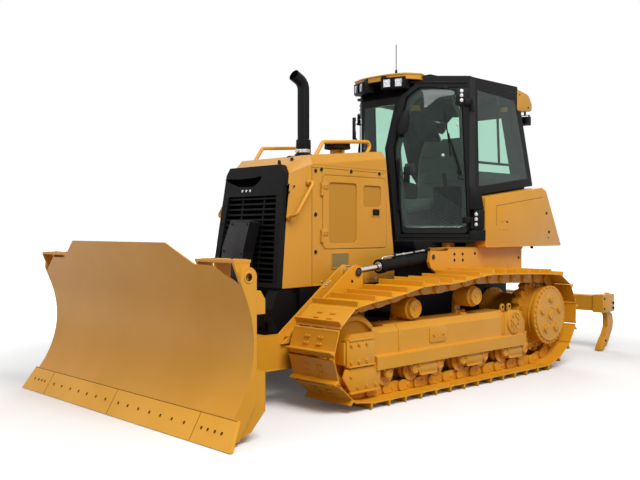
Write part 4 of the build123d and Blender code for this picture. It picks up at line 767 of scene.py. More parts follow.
def makeScreen(name, colour, pitch):
    # Punched sheet: small dark holes in painted metal, the dark of the holes being painted shade of the space behind
    # the sheet.
    material, tree, shader = principled(name)
    where = node(tree, "ShaderNodeTexCoord").outputs["Object"]
    dots = node(tree, "ShaderNodeTexVoronoi", {"Vector": where, "Scale": 1 / pitch, "Randomness": 0.0})
    hole = rampOf(tree, dots.outputs["Distance"], 0.42, 0.30)
    tree.links.new(mixColour(tree, hole, (*colour, 1), (0.02, 0.012, 0.004, 1)), shader.inputs["Base Color"])
    shader.inputs["Roughness"].default_value = 0.6
    shader.inputs["Specular IOR Level"].default_value = 0.15
    return material


screenTan = makeScreen("screenTan", (0.50, 0.235, 0.030), 0.009)
screenGrey = makeScreen("screenGrey", (0.26, 0.19, 0.07), 0.009)
# dark brown for the seams between panels and bars, and for painted shade in a crease, in sockets, in the blade ears'
# bores and above the cutting edges
seamAndShadeDark = enamel("seamAndShadeDark", (0.06, 0.026, 0.004), gloss=0.8, peel=0.0, coat=0.0, shine=0.1)

hood = {
    "face": 0.5,
    "caps": ((1.378, 1.946), (1.308, 1.961), (0.934, 1.96), (0.556, 1.956), (1.378, 1.565), (1.378, 1.239)),
    "plugs": ((1.632, 1.819), (1.574, 1.805), (1.621, 1.752)),
    "doorFace": 0.504, "door": ((0.448, 1.262), (1.289, 1.262), (1.289, 1.912), (0.466, 1.912)),
    "screens": (((0.860, 1.310), (1.215, 1.310), (1.215, 1.850), (0.860, 1.850)),
                ((0.530, 1.640), (0.770, 1.640), (0.770, 1.838), (0.530, 1.838))),
    "lowScreen": (0.972, 1.175, 1.094, 1.216), "hingeX": 1.309, "hingeZ": (1.38, 1.79),
}


def hoodSide(x, z):
    # Half width of the hood's front section at a place on its side.
    t = (z - 0.94) / 0.99
    frontX, frontY = 1.790 - 0.132 * t, 0.462 - 0.062 * t
    return 0.5 - (0.5 - frontY) * max(0.0, x - 1.42) / (frontX - 1.42)


def makeEngineDoor(side):
    bm = bmesh.new()
    face = hood["doorFace"]
    holes = [roundOff(screen, 0.03) for screen in hood["screens"]]
    addPlate(bm, roundOff(hood["door"], 0.045, 6), holes, "xz", 0.478, face, 0.0022)
    for screen in hood["screens"]:
        (x0, z0), (x1, z1) = screen[0], screen[2]
        addBox(bm, (x0 - 0.008, 0.482, z0 - 0.008), (x1 + 0.008, 0.492, z1 + 0.008), 0.0, 1)
    # latch: a recessed cup with a black paddle
    addPlate(bm, roundOff(((0.542, 1.551), (0.666, 1.551), (0.666, 1.633), (0.542, 1.633)), 0.014),
             [roundOff(((0.556, 1.562), (0.652, 1.562), (0.652, 1.622), (0.556, 1.622)), 0.01)], "xz", face,
             face + 0.005,
             0.0012)
    addBox(bm, (0.556, face - 0.001, 1.562), (0.652, face + 0.0012, 1.622), 0.0, 2)
    addBox(bm, (0.574, face, 1.574), (0.636, face + 0.008, 1.610), 0.003, 2)
    for z in hood["hingeZ"]:
        addBox(bm, (1.229, face, z), (hood["hingeX"], face + 0.006, z + 0.056), 0.0015)
        addRod(bm, (hood["hingeX"], 0.512, z), (hood["hingeX"], 0.512, z + 0.056), 0.009, 0.0012, sides=16)
        for x in (1.245, 1.275):
            addBolt(bm, (x, face + 0.006, z + 0.028), (0, 1, 0), 0.006, 0.003)
    for x, z in ((1.262, 1.52), (1.262, 1.70), (0.50, 1.30), (1.238, 1.284)):
        addSpin(bm, [(0, 0.0016), (0.006, 0.0014), (0.008, 0)], (x, face, z), "y", 12)
    if side < 0:
        bmesh.ops.scale(bm, vec=(1, -1, 1), verts=bm.verts)
        bmesh.ops.reverse_faces(bm, faces=bm.faces)
    name = "left" if side > 0 else "right"
    return addPiece(f"engineDoor_{name}", bm, [shadedHoodYellow, screenTan, mattBlack], f"engine_door_{name}",
                    (f"engine_door_{name}",))


for side in (1, -1):
    makeEngineDoor(side)


def makeHoodDetails():
    bm = bmesh.new()
    face = hood["face"]
    # turn fasteners: a rubber cap in a pressed ring
    for x, z in hood["caps"]:
        addSpin(bm, [(0.017, 0.0), (0.019, 0.003), (0.024, 0.003), (0.027, 0.0)], (x, face, z), "y", 24)
        addSpin(bm, [(0, 0.010), (0.012, 0.009), (0.0185, 0.003), (0.0185, 0)], (x, face, z), "y", 24, 1)
    for x, z in hood["plugs"]:
        y = hoodSide(x, z)
        addSpin(bm, [(0, 0.002), (0.007, 0.0016), (0.010, -0.001)], (x, y, z), "y", 16, 3)
    # seams between the pressed panels
    addBox(bm, (1.4180, face - 0.002, 0.945), (1.4215, face + 0.0006, 1.985), 0.0, 3)
    addSlab(bm, [(0.473, 1.9620), (1.416, 1.9730), (1.416, 1.9762), (0.473, 1.9654)], "xz", face - 0.002,
            face + 0.0006,
            0.0, 3)
    addSlab(bm, [(0.43, 1.985), (1.414, 1.998), (1.414, 2.0), (0.43, 1.99)], "xz", face - 0.002,
            face + 0.0012, 0.0005, 0)
    x0, x1, z0, z1 = hood["lowScreen"]
    addPlate(bm, roundOff(((x0 - 0.014, z0 - 0.014), (x1 + 0.014, z0 - 0.014), (x1 + 0.014, z1 + 0.014),
                           (x0 - 0.014, z1 + 0.014)), 0.012),
             [((x0, z0), (x1, z0), (x1, z1), (x0, z1))], "xz", face, face + 0.004, 0.001)
    addBox(bm, (x0 - 0.004, face, z0 - 0.004), (x1 + 0.004, face + 0.0012, z1 + 0.004), 0.0, 4)
    addBox(bm, (1.02, face, 1.035), (1.11, face + 0.016, 1.062), 0.003, 2)
    for x in (0.60, 0.80, 1.30):
        addBolt(bm, (x, face, 0.975), (0, 1, 0), 0.008, index=2)
    # folded lip along the bottom of the side sheets
    addBox(bm, (0.36, face - 0.01, 0.940), (1.416, face + 0.004, 0.952), 0.002)
    # filler round the rounded corners of the engine door
    addPlate(bm, [(0.443, 1.257), (1.294, 1.257), (1.294, 1.917), (0.462, 1.917)],
             [roundOff(((0.4455, 1.2595), (1.2915, 1.2595), (1.2915, 1.9145), (0.4635, 1.9145)), 0.045, 6)],
             "xz", 0.486,
             face, 0.0)
    # feet of the grab bar on the front corner
    for x, y, z in ((1.450, 0.494, 1.840), (1.640, 0.445, 1.540)):
        addSpin(bm, [(0, 0.012), (0.021, 0.012), (0.026, 0.006), (0.026, -0.004)], (x, y, z), "y", 24)
    mirrored(bm)
    # top: filler cap, small plugs, clamp band of the stack and its foot
    addSpin(bm, [(0, 0.034), (0.03, 0.032), (0.043, 0.020), (0.043, -0.01)], (1.391, 0.199, 2.060), "z", 28,
            1)
    addSpin(bm, [(0, 0.026), (0.012, 0.024), (0.015, 0), (0.015, -0.01)], (1.62, 0.30, 2.010), "z", 16, 1)
    addSpin(bm, [(0, 0.020), (0.012, 0.018), (0.015, 0), (0.015, -0.01)], (1.50, 0.33, 2.045), "z", 16, 1)
    addSpin(bm, [(0.0575, 0.150), (0.069, 0.142), (0.071, 0.066), (0.0685, 0.058), (0.0685, 0.056)],
            (1.060, 0, 2.130), "z", 40, 5)
    addSpin(bm, [(0.066, 0.056), (0.0715, 0.053), (0.0715, 0.024), (0.066, 0.021)], (1.060, 0, 2.130), "z",
            40, 2)
    addSpin(bm, [(0.067, 0.021), (0.084, 0.006), (0.086, -0.030)], (1.060, 0, 2.130), "z", 40, 5)
    addBox(bm, (1.128, -0.012, 2.150), (1.150, 0.012, 2.186), 0.002, 2)
    addRod(bm, (1.139, -0.03, 2.168), (1.139, 0.03, 2.168), 0.005, 0.001, 2, 12)
    # painted shade: a flat black disc in the stack's mouth for its dark inside
    mouth = Vector((0.120, 0, 0.060)).normalized()
    end = Vector((1.180, 0, 2.868))
    addRod(bm, end - mouth * 0.004, end + mouth * 0.0015, 0.050, 0.0, 6, 40)
    return addPiece("hoodDetails", bm, [shadedHoodYellow, rubberBlack, zincPlate, seamAndShadeDark, screenGrey,
            satinBlack, paintedShadeBlack],
                    "tractor")


# a black that reflects nothing, for painted shade in the stack's mouth, behind the grille and in the cap's scoop
paintedShadeBlack = enamel("paintedShadeBlack", (0.0015, 0.0015, 0.0015), gloss=0.9, peel=0.0, coat=0.0, shine=0.0)
makeHoodDetails()


def makePreCleaner():
    bm = bmesh.new()
    centre = (0.610, 0, 2.13)
    addSpin(bm, [(0.054, -0.03), (0.054, 0.070), (0.060, 0.074), (0.060, 0.086)], centre, "z", 40, 1)
    addSpin(bm, [(0.060, 0.080), (0.110, 0.086), (0.127, 0.090), (0.1275, 0.104), (0.1275, 0.112),
            (0.120, 0.114),
                 (0.116, 0.118), (0.116, 0.132), (0.122, 0.136), (0.1275, 0.139)], centre, "z", 56)
    addSpin(bm, [(0.1275, 0.138), (0.1275, 0.146), (0.112, 0.158), (0.100, 0.1598), (0.0, 0.1598)], centre,
            "z", 56)
    for i in range(28):
        turn = 2 * pi * i / 28
        addBox(bm, (0.610 + 0.121 * cos(turn) - 0.003, 0.121 * sin(turn) - 0.003, 2.244),
               (0.610 + 0.121 * cos(turn) + 0.003, 0.121 * sin(turn) + 0.003, 2.268), 0.0)
    for y in (-0.075, 0.075):
        addBox(bm, (0.596, y - 0.012, 2.15), (0.624, y + 0.012, 2.218), 0.002, 1)
    return addPiece("preCleaner", bm, [mattBlack, shadedHoodYellow], "tractor", ("pre_cleaner",))


makePreCleaner()


def makeGrilleDetails():
    bm = bmesh.new()
    # local frame: x out of the grille, y across, z up its slope
    cap = 0.795
    # painted shade: a flat black sheet behind the grille for the dark space behind its louvres
    addBox(bm, (-0.055, -0.430, 0.02), (-0.050, 0.430, 0.90), 0.0, 1)
    addBox(bm, (0.0, -0.384, cap), (0.004, 0.384, cap + 0.006), 0.0015, 0)
    # painted shade: the scoop in the cap is a thin black slab on the face, not a recess
    addSlab(bm, [(-0.416, 0.965), (-0.330, 0.925), (-0.198, 0.886), (0.003, 0.880), (0.052, 0.905),
            (0.110, 0.945),
                 (0.104, 0.975), (0.010, 0.962), (-0.200, 0.956)], "yz", 0.0002, 0.0012, 0.0, 1)
    for y in (-0.135, -0.080, -0.026):
        addBox(bm, (0.0005, y - 0.0105, 0.834), (0.006, y + 0.0105, 0.856), 0.002, 2)
    # side bezels: fixing screws inside the outer frame
    for y in (-1, 1):
        for rise in (0.06, 0.30, 0.55, 0.72):
            half = 0.462 - 0.062 * rise / 0.999 - 0.030
            part = bmesh.new()
            addBolt(part, (0, 0, 0), (1, 0, 0), 0.007, 0.004)
            joinAt(bm, part, Matrix.Translation((0.001, y * half, rise)))
    # hose guard: cover face with a folded top edge
    guard = [(-0.190, -0.004), (0.110, -0.004), (0.110, 0.300), (0.160, 0.560), (-0.110, 0.560), (-0.190,
            0.330)]
    addSlab(bm, guard, "yz", 0.117, 0.1186, 0.0006, 3)
    addSlab(bm, [(-0.108, 0.548), (0.158, 0.548), (0.161, 0.562), (-0.112, 0.562)], "yz", 0.002, 0.120,
            0.001, 3)
    for y, rise in ((-0.165, 0.03), (0.085, 0.03), (-0.165, 0.29), (0.085, 0.27), (-0.085, 0.53), (0.13,
            0.53)):
        part = bmesh.new()
        addBolt(part, (0, 0, 0), (1, 0, 0), 0.008, 0.005)
        joinAt(bm, part, Matrix.Translation((0.1186, y, rise)))
    lean = atan2(0.132, 0.99)
    bmesh.ops.transform(bm, matrix=Matrix.Translation((1.790, 0, 0.94)) @ Matrix.Rotation(-lean, 4, "Y"),
            verts=bm.verts)
    return addPiece("grilleDetails", bm, [satinBlack, paintedShadeBlack, zincPlate, guardGrey], "tractor")


guardGrey = enamel("guardGrey", (0.018, 0.018, 0.019), gloss=0.5, peel=0.1, coat=0.0, shine=0.25)
makeGrilleDetails()
print("hood dressed")

# cab
cab = {
    "front": (0.076, 0.179), "post": (-0.521, 0.750),
    "door": ((0.014, 1.391), (0.677, 1.391), (0.754, 2.245), (0.626, 2.759), (0.503, 2.856), (0.084, 2.856)),
    "pane": ((0.022, 1.452), (0.668, 1.452), (0.738, 2.235), (0.612, 2.738), (0.490, 2.838), (0.156, 2.842),
             (0.130, 2.690), (0.084, 2.648)),
    "hole": ((0.062, 1.480), (0.622, 1.480), (0.690, 2.236), (0.575, 2.690), (0.478, 2.788), (0.176, 2.788),
             (0.150, 2.660), (0.106, 2.620)),
    "hingeZ": (1.500, 2.685), "lampTurn": radians(20.4), "lampAt": (0.034, 0.228),
}
run = hypot(cab["front"][0] - cab["post"][0], cab["post"][1] - cab["front"][1])
doorAlong = Vector(((cab["front"][0] - cab["post"][0]) / run, -(cab["post"][1] - cab["front"][1]) / run, 0))
doorOut = Vector((-doorAlong.y, doorAlong.x, 0))
# door frame: x forward along the door, y outwards, z up
doorMatrix = Matrix((
    (doorAlong.x, doorOut.x, 0, cab["post"][0]), (doorAlong.y, doorOut.y, 0, cab["post"][1]), (0, 0, 1, 0),
            (0, 0, 0, 1)))
reflector = enamel("reflector", (0.50, 0.51, 0.52), gloss=0.3, peel=0.3, coat=0.2)
liningGrey = enamel("liningGrey", (0.022, 0.023, 0.023), gloss=0.7, peel=0.2, coat=0.0, shine=0.1)


def flipSide(bm, side):
    if side < 0:
        bmesh.ops.scale(bm, vec=(1, -1, 1), verts=bm.verts)
        bmesh.ops.reverse_faces(bm, faces=bm.faces)


def makeCabDoor(side):
    bm = bmesh.new()
    outline = roundOff(cab["door"], 0.035)
    hole = roundOff(cab["hole"], 0.05)
    addPlate(bm, outline, [hole], "xz", -0.060, -0.004, 0.003)
    # rubber seal round the pane
    addPlate(bm, roundOff([(s + 0.006 * (1 if s < 0.4 else -1), z + 0.006 * (1 if z < 2 else -1)) for s,
            z in cab["door"]],
                          0.035), [roundOff(cab["hole"], 0.05)], "xz", -0.004, -0.0005, 0.0008, 1)
    # hinge leaves with their bolts, the barrels stand on the frame's pins
    for z, s0, s1, high in ((cab["hingeZ"][1], 0.000, 0.140, 0.172), (cab["hingeZ"][0], 0.002, 0.072, 0.060)):
        addSlab(bm, roundOff(((s0, z), (s1, z), (s1, z + high), (s0, z + high)), 0.012), "xz", -0.002,
                0.012, 0.002)
        addBox(bm, (-0.022, 0.012, z), (s0 + 0.05, 0.034, z + 0.058), 0.003)
        part = bmesh.new()
        addSpin(part, [(0.0078, 0), (0.0155, 0), (0.0162, 0.002), (0.0162, 0.056), (0.0148, 0.060),
                (0.0078, 0.060),
                       (0.0078, 0)], (-0.0207, 0.0273, z), "z", 24)
        joinAt(bm, part, Matrix())
    for z in (2.733, 2.781, 2.826):
        addBolt(bm, (0.082, 0.012, z), (0, 1, 0), 0.0125, 0.007, index=2)
    for s, z in ((0.122, 2.488), (0.268, 2.182)):
        addSpin(bm, [(0, 0.008), (0.010, 0.007), (0.016, 0.001), (0.016, -0.002)], (s, 0.006, z), "y", 20, 2)
    # latch and grab handle at the leading edge
    addBox(bm, (0.600, 0.000, 1.905), (0.664, 0.010, 2.065), 0.004)
    addPipe(bm, [(0.706, 0.000, 1.62), (0.706, 0.045, 1.62), (0.716, 0.045, 2.13), (0.716, 0.000, 2.13)],
            0.010, 0, 12,
            0.03)
    addBox(bm, (0.540, -0.062, 2.02), (0.640, -0.030, 2.10), 0.008, 0)
    # mirror: rounded back, glass facing rearwards, two stalks
    mirrorLine = [(0.622, 2.626), (0.686, 2.614), (0.727, 2.460), (0.729, 2.366), (0.648, 2.400), (0.609,
            2.520)]
    addSlab(bm, roundOff(mirrorLine, 0.024, 4), "xz", 0.058, 0.096, 0.010, 0, 3)
    addSlab(bm, roundOff([(0.626, 2.60), (0.680, 2.596), (0.716, 2.458), (0.716, 2.386), (0.655, 2.410),
            (0.620, 2.52)],
                         0.02, 3), "xz", 0.055, 0.0585, 0.0, 3)
    for start, end in (((0.664, 0.0, 2.366), (0.690, 0.066, 2.40)), ((0.622, 0.0, 2.545),
            (0.650, 0.066, 2.57))):
        addPipe(bm, [start, (start[0], 0.04, start[2]), end], 0.0075, 0, 10, 0.015)
    # wiper: motor boss, arm and blade
    addSpin(bm, [(0, 0.030), (0.020, 0.028), (0.026, 0.018), (0.026, 0.0)], (0.100, 0.004, 2.008), "y", 24)
    addPipe(bm, [(0.100, 0.026, 2.008), (0.110, 0.030, 2.061), (0.150, 0.030, 2.180),
            (0.205, 0.022, 2.350)], 0.011, 0, 10,
            0.03)
    addPipe(bm, [(0.214, 0.018, 2.402), (0.205, 0.022, 2.350)], 0.008, 0, 10)
    addSlab(bm, [(0.250, 2.640), (0.262, 2.638), (0.196, 2.170), (0.184, 2.172)], "xz", 0.007, 0.016, 0.002)
    addPipe(bm, [(0.100, 0.010, 1.98), (0.120, 0.012, 1.950), (0.04, 0.012, 1.930)], 0.006, 0, 8, 0.02)
    bmesh.ops.transform(bm, matrix=doorMatrix, verts=bm.verts)
    flipSide(bm, side)
    name = "left" if side > 0 else "right"
    addPiece(f"cabDoor_{name}", bm, [satinBlack, rubberBlack, zincPlate, chromeRod], f"cab_door_{name}",
             (f"cab_door_{name}",))
    pane = bmesh.new()
    addSlab(pane, roundOff(cab["pane"], 0.05), "xz", 0.0002, 0.0062, 0.0008)
    bmesh.ops.transform(pane, matrix=doorMatrix, verts=pane.verts)
    flipSide(pane, side)
    addPiece(f"doorPane_{name}", pane, [tintedGlass], f"cab_door_{name}",
            (f"door_glass_{name}",))


for side in (1, -1):
    makeCabDoor(side)


def onLamp(side):
    # lamp frame: x across the housing, y out of its face, z up
    c, t = cos(cab["lampTurn"]), sin(cab["lampTurn"])
    x, y = cab["lampAt"]
    return Matrix(((-t, c, 0, x), (side * c, side * t, 0, side * y), (0, 0, 1, 0), (0, 0, 0, 1)))


def joinOnLamp(bm, part, side, out):
    matrix = onLamp(side) @ Matrix.Translation((0, out, 0))
    bmesh.ops.transform(part, matrix=matrix, verts=part.verts)
    if matrix.determinant() < 0:
        bmesh.ops.reverse_faces(part, faces=part.faces)
    joinAt(bm, part, Matrix())


def makeLamps():
    bm = bmesh.new()
    for side in (1, -1):
        part = bmesh.new()
        addBox(part, (-0.136, -0.020, 2.848), (0.128, 0.019, 2.964), 0.006, 1)
        joinOnLamp(bm, part, side, 0)
        for w in (-0.066, 0.058):
            part = bmesh.new()
            z0, z1 = 2.860, 2.950
            addPlate(part, roundOff(((w - 0.047, z0 - 0.004), (w + 0.047, z0 - 0.004), (w + 0.047,
                    z1 + 0.004),
                                     (w - 0.047, z1 + 0.004)), 0.010),
                     [roundOff(((w - 0.037, z0 + 0.006), (w + 0.037, z0 + 0.006), (w + 0.037, z1 - 0.006),
                                (w - 0.037, z1 - 0.006)), 0.006)], "xz", 0.001, 0.013, 0.002, 1)
            addBox(part, (w - 0.038, 0.0008, z0 + 0.005), (w + 0.038, 0.003, z1 - 0.005), 0.0, 2)
            for k in (-0.0185, 0.0185):
                addSpin(part, [(0.006, 0.003), (0.010, 0.004), (0.0165, 0.009)], (w + k, 0, 2.905), "y", 20,
                        2)
                addSpin(part, [(0, 0.0055), (0.004, 0.005), (0.006, 0.003)], (w + k, 0, 2.905), "y", 16, 2)
            addBox(part, (w - 0.0375, 0.0095, z0 + 0.0055), (w + 0.0375, 0.0118, z1 - 0.0055), 0.0008, 0)
            for k in (-1, 1):
                addBolt(part, (w + k * 0.042, 0.013, 2.954 if k > 0 else 2.856), (0, 1, 0), 0.003, 0.002,
                        index=1)
            joinOnLamp(bm, part, side, 0.0185)
        # rear lamps: round cornered body, hanging bracket, lens towards the ripper
        y0, y1 = sorted((side * 0.612, side * 0.708))
        addBox(bm, (-1.712, y0, 2.592), (-1.640, y1, 2.684), 0.014, 1)
        addBox(bm, (-1.722, y0 - 0.003, 2.589), (-1.700, y1 + 0.003, 2.687), 0.006, 1)
        addBox(bm, (-1.7235, y0 + 0.008, 2.600), (-1.7215, y1 - 0.008, 2.676), 0.0, 2)
        addBox(bm, (-1.7262, y0 + 0.006, 2.598), (-1.7236, y1 - 0.006, 2.678), 0.0008, 0)
        for y in (y0 - 0.005, y1 + 0.001):
            addBox(bm, (-1.690, y, 2.630), (-1.662, y + 0.004, 2.700), 0.001, 1)
        addBox(bm, (-1.690, y0 - 0.005, 2.697), (-1.662, y1 + 0.005, 2.702), 0.001, 1)
        addRod(bm, (-1.676, side * 0.66, 2.70), (-1.676, side * 0.66, 2.745), 0.012, 0.001, 1)
        for fin in range(5):
            addBox(bm, (-1.640, y0 + 0.012, 2.604 + fin * 0.016), (-1.628, y1 - 0.012, 2.609 + fin * 0.016),
                   0.001, 1)
    return addPiece("lampUnits", bm, [lampGlass, satinBlack, reflector], "tractor",
            ("work_lamps",))


makeLamps()


def makeLampCovers():
    bm = bmesh.new()
    # visor: a shallow hood that follows the front of the roof, thinner between the lamps
    plan = [(-0.226, -0.424), (-0.140, -0.434), (-0.002, -0.361), (0.061, -0.196), (0.077, -0.096), (0.077,
            0.096),
            (0.061, 0.196), (-0.002, 0.361), (-0.140, 0.434), (-0.226, 0.424)]
    addSlab(bm, roundOff(plan, 0.03, 4), "xy", 2.982, 3.001, 0.007, 0, 3)
    rim = [(-0.218, -0.418), (-0.139, -0.427), (-0.006, -0.356), (0.055, -0.194), (0.071, -0.094), (0.071,
            0.094),
           (0.055, 0.194), (-0.006, 0.356), (-0.139, 0.427), (-0.218, 0.418)]
    inner = [(x - 0.02, y * 0.94) for x, y in rim]
    addPlate(bm, roundOff(rim, 0.03, 4), [roundOff(inner[::-1], 0.03, 4)], "xy", 2.938, 2.984, 0.004)
    for side in (1, -1):
        for x, y in ((-0.165, 0.425), (-0.205, 0.421)):
            addBolt(bm, (x, side * y, 2.962), (0.2, side, 0), 0.007, index=1)
        # covers at the rear corners of the roof
        y0, y1 = sorted((side * 0.472, side * 0.724))
        addSlab(bm, roundOff([(-1.424, 2.956), (-1.424, 2.724), (-1.494, 2.718), (-1.721, 2.740), (-1.721,
                2.822),
                              (-1.652, 2.918), (-1.500, 2.945)], 0.035, 4), "xz", y0, y1, 0.014, 0, 3)
        addSpin(bm, [(0, 0.003), (0.010, 0.0025), (0.013, 0)], (-1.640, side * 0.724, 2.775), "y", 16, 1,
                side)
        addSpin(bm, [(0, 0.003), (0.008, 0.0025), (0.010, 0)], (-1.470, side * 0.724, 2.900), "y", 16, 1,
                side)
    return addPiece("lampCovers", bm, [shadedHoodYellow, mattBlack], "tractor", ("lamp_pods",))


makeLampCovers()


def makeCabTrim():
    bm = bmesh.new()
    # lower hinge plates on the post, with three bolts, and the post's foot
    part = bmesh.new()
    addSlab(part, roundOff(((-0.150, 1.432), (-0.044, 1.432), (-0.044, 1.492), (-0.044, 1.625), (-0.150,
            1.635)), 0.02),
            "xz", -0.02, 0.020, 0.003)
    addSlab(part, roundOff(((-0.164, 1.320), (0.0, 1.320), (0.0, 1.430), (-0.164, 1.430)), 0.008), "xz",
            -0.04, 0.010,
            0.003)
    for z in (1.484, 1.537, 1.587):
        addBolt(part, (-0.066, 0.020, z), (0, 1, 0), 0.0125, 0.007, index=2)
    addSlab(part, [(-0.060, 1.30), (0.765, 1.30), (0.765, 1.326), (-0.060, 1.326)], "xz", -0.03, 0.012, 0.002)
    addSlab(part, [(-0.150, 1.352), (0.700, 1.352), (0.700, 1.366), (-0.150, 1.366)], "xz", -0.03, 0.006,
            0.002)
    # drip rail over the door
    addSlab(part, [(0.02, 2.905), (0.60, 2.905), (0.60, 2.922), (0.02, 2.922)], "xz", -0.006, 0.008, 0.002)
    addSlab(part, [(0.02, 2.868), (0.50, 2.868), (0.50, 2.874), (0.02, 2.874)], "xz", -0.006, 0.004, 0.001)
    # seal lip in front of the door's leading edge, and the gusset at the post's foot
    addSlab(part, [(0.640, 1.40), (0.712, 1.40), (0.792, 2.245), (0.660, 2.775), (0.530, 2.885),
            (0.470, 2.850),
                   (0.600, 2.735), (0.722, 2.240)], "xz", -0.078, -0.067, 0.002)
    addSlab(part, [(-0.150, 1.635), (-0.120, 1.80), (-0.060, 1.86), (0.0, 1.86), (0.0, 1.635)], "xz",
            -0.020, 0.004,
            0.002)
    joinAt(bm, part, doorMatrix)
    mirrored(bm)
    for side in (1, -1):
        y = side * 0.712
        y0, y1 = sorted((y - side * 0.02, y + side * 0.004))
        # pillar face between door and side window, drip rail and sill of the window
        addSlab(bm, [(-0.660, 2.902), (-1.440, 2.902), (-1.440, 2.918), (-0.660, 2.918)], "xz", y0,
                y1 + (0.006 if side > 0 else 0), 0.002)
        addPlate(bm, roundOff(((-0.700, 1.862), (-1.668, 1.984), (-1.392, 2.838), (-0.664, 2.869)), 0.05),
                 [roundOff(((-0.716, 1.882), (-1.640, 1.999), (-1.378, 2.820), (-0.682, 2.850)), 0.045)],
                 "xz", y0, y1,
                 0.0015, 1)
        # sliding window frame inside the pane
        y0, y1 = sorted((side * 0.672, side * 0.690))
        addSlab(bm, [(-0.69, 2.116), (-1.610, 2.116), (-1.606, 2.142), (-0.69, 2.142)], "xz", y0, y1, 0.003)
        addSlab(bm, [(-1.128, 2.130), (-1.152, 2.130), (-1.108, 2.830), (-1.084, 2.830)], "xz", y0, y1, 0.003)
        # lining strips of the rear wall and under the side windows
        y0, y1 = sorted((side * 0.490, side * 0.620))
        addSlab(bm, [(-1.655, 1.990), (-1.675, 1.990), (-1.420, 2.860), (-1.400, 2.860)], "xz", y0, y1,
                0.004, 3)
        y0, y1 = sorted((side * 0.620, side * 0.650))
        addSlab(bm, [(-0.70, 1.86), (-1.60, 1.96), (-1.60, 2.04), (-0.70, 2.04)], "xz", y0, y1, 0.004, 3)
        # lower step edge beside the floor
        addBox(bm, (-1.50, side * 0.47 - 0.03, 1.20), (0.02, side * 0.47 + 0.03, 1.316), 0.004)
    # header duct above the rear window, lining of the roof, floor pan
    addBox(bm, (-1.460, -0.500, 2.660), (-1.400, 0.500, 2.878), 0.010, 3)
    addBox(bm, (-1.30, -0.60, 2.850), (-0.30, 0.60, 2.879), 0.006, 3)
    addBox(bm, (-1.55, -0.49, 1.252), (0.03, 0.49, 1.317), 0.004)
    addBox(bm, (-1.20, -0.40, 1.150), (-0.10, 0.40, 1.252), 0.01, 1)
    # ribs of the roof hatch
    for x in (-0.50, -0.80, -1.10):
        addBox(bm, (x - 0.012, -0.42, 2.993), (x + 0.012, 0.42, 2.9985), 0.002)
    # aerial base
    addSpin(bm, [(0.026, -0.004), (0.026, 0.006), (0.014, 0.020), (0.0115, 0.060), (0.006, 0.066)], (-0.090,
            0.150, 3.001),
            "z", 24, 1)
    # handrail behind the cab
    for side in (1, -1):
        addPipe(bm, [(-1.735, side * 0.66, 1.992), (-1.80, side * 0.66, 1.992), (-1.80, side * 0.40, 1.992),
                     (-1.735, side * 0.40, 1.992)], 0.011, 0, 10, 0.03)
    return addPiece("cabTrim", bm, [satinBlack, rubberBlack, zincPlate, liningGrey], "tractor")


makeCabTrim()
print("cab dressed")

# tanks, deck, seat
tank = {"half": 0.8603}


def makeTanks():
    bm = bmesh.new()
    half = tank["half"]
    outline = roundOff([(-0.6473, 1.252), (-0.6473, 1.7605), (-1.704, 1.8918), (-1.791, 1.8582), (-2.111,
            1.252)], 0.014, 3)
    addSlab(bm, outline, "xz", 0.700, half, 0.012, 0, 3)
    addSlab(bm, [(-0.6473, 1.252), (-0.6473, 1.7602), (-1.704, 1.8915), (-1.7575, 1.872), (-1.7575, 1.252)],
            "xz", 0.6162, 0.702,
            0.0, 0)
    # pressed line round the side panel, a dark strip of painted shade in the crease; latch box and the rubber buffers
    addSlab(bm, [(-0.836, 1.470), (-0.836, 1.678), (-1.713, 1.789), (-1.713, 1.785), (-0.840, 1.6745),
            (-0.840, 1.470)],
            "xz", half - 0.002, half + 0.0007, 0.0, 1)
    addPlate(bm, roundOff(((-1.060, 1.432), (-0.884, 1.432), (-0.884, 1.532), (-1.060, 1.532)), 0.012),
             [roundOff(((-1.050, 1.442), (-0.894, 1.442), (-0.894, 1.522), (-1.050, 1.522)), 0.008)], "xz",
             half - 0.002,
             half + 0.0035, 0.001)
    addBolt(bm, (-1.028, half, 1.512), (0, 1, 0), 0.008, index=2)
    for x, z, r in ((-1.797, 1.613, 0.017), (-1.853, 1.405, 0.017), (-1.837, 1.342, 0.007)):
        addSpin(bm, [(0, 0.007), (r * 0.8, 0.006), (r, 0)], (x, half - 0.0005, z), "y", 20, 2)
    # folded lip and drain along the bottom
    addBox(bm, (-2.09, 0.78, 1.2505), (-0.660, half + 0.002, 1.262), 0.002)
    addRod(bm, (-1.60, 0.80, 1.225), (-1.60, 0.80, 1.253), 0.017, 0.002, 2)
    mirrored(bm)
    addSlab(bm, [(-1.7585, 1.252), (-1.7585, 1.8722), (-1.791, 1.8588), (-2.111, 1.252)], "xz", -0.702,
            0.702, 0.0, 0)
    # rear cover with bolts, and the two filler necks on the sloping rear face
    normal = Vector((-0.884, 0, 0.467))
    for y, r in ((0.52, 0.075), (-0.52, 0.06)):
        base = Vector((-1.873, y, 1.702))
        addRod(bm, base, base + normal * 0.012, r, 0.004, 2, 36)
        addRod(bm, base + normal * 0.010, base + normal * 0.040, r * 0.72, 0.006, 2, 28)
    for y in (-0.62, -0.31, 0.0, 0.31, 0.62):
        for t in (0.30, 0.92):
            place = Vector((-1.791, y, 1.8582)).lerp(Vector((-2.111, y, 1.252)), t)
            addBolt(bm, place, normal, 0.008, index=2)
    return addPiece("rearTanks", bm, [machineYellow, seamAndShadeDark, rubberBlack], "tractor",
                    ("tank_left", "tank_right", "tank_rear"))


